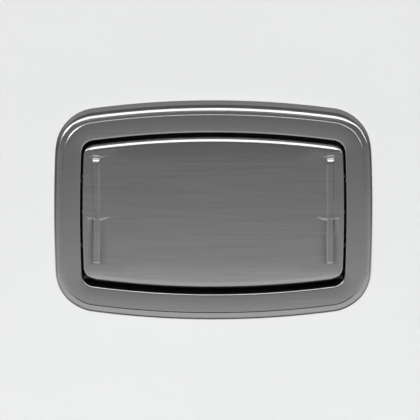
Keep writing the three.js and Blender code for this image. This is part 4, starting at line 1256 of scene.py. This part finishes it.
def softbox(name, place, target, width, depth, power):
    """A rectangular light, in metres and watts, that the camera doesn't see."""
    data = bpy.data.lights.new(name, "AREA")
    data.shape = "RECTANGLE"
    data.size = width
    data.size_y = depth
    data.energy = power
    obj = bpy.data.objects.new(name, data)
    bpy.context.scene.collection.objects.link(obj)
    obj.location = Vector(place)
    aim(obj, target)
    obj.visible_camera = False
    return obj


def lights(backdrop):
    """Soft light from above, a pale glow off the floor, and a wash on the backdrop alone."""
    only_backdrop = bpy.data.collections.new("only_backdrop")
    all_but_backdrop = bpy.data.collections.new("all_but_backdrop")
    for obj in backdrop:
        only_backdrop.objects.link(obj)
        all_but_backdrop.objects.link(obj)
    for link in all_but_backdrop.collection_objects:
        link.light_linking.link_state = "EXCLUDE"
    overhead = softbox("overhead", (-0.15, -1.9, 2.1), (-0.15, -0.1, 0.0), 8.5, 1.55, 118.0)
    overhead.light_linking.receiver_collection = all_but_backdrop
    # Name, place, target, width, depth and power of the lights that only show as reflections.
    reflected = (
        ("near_floor", (0.0, -2.6, -1.1), (0.0, -2.6, 0.0), 10.0, 5.2, 96.0),
        ("far_floor", (0.0, 3.0, -1.1), (0.0, 3.0, 0.0), 10.0, 4.2, 82.0),
        ("front_left", (-2.3, -3.6, 1.15), (0.0, -0.1, 0.0), 1.0, 0.8, 24.0),
        ("front_right", (3.2, -3.6, 0.9), (0.0, -0.1, 0.0), 0.8, 0.7, 12.0),
        ("behind", (0.0, 1.5, 0.8), (0.0, 0.0, 0.8), 6.0, 1.2, 3.0),
    )
    for light in reflected:
        softbox(*light).visible_diffuse = False
    rear_fill = softbox("rear_fill", (1.5, 1.5, 1.9), (0.0, 0.0, 0.0), 1.2, 1.2, 60.0)
    rear_fill.visible_glossy = False
    data = bpy.data.lights.new("front_wash", "SUN")
    data.energy = 2.55
    data.angle = math.radians(6)
    wash = bpy.data.objects.new("front_wash", data)
    bpy.context.scene.collection.objects.link(wash)
    wash.location = (0.0, -5.0, 0.9)
    aim(wash, (0.0, 0.0, 0.0))
    wash.visible_glossy = False
    wash.light_linking.receiver_collection = only_backdrop
    world = bpy.data.worlds.new("studio")
    bpy.context.scene.world = world
    world.use_nodes = True
    sky = world.node_tree.nodes["Background"]
    sky.inputs["Color"].default_value = (0.145, 0.145, 0.1458, 1)
    sky.inputs["Strength"].default_value = 1.0
    bpy.context.scene.view_settings.view_transform = "Standard"


camera()
lights(stage())
steel_surround()
door_panel()
changing_bed()
rear_tray()
straps()
all_screws()
kept_nodes()
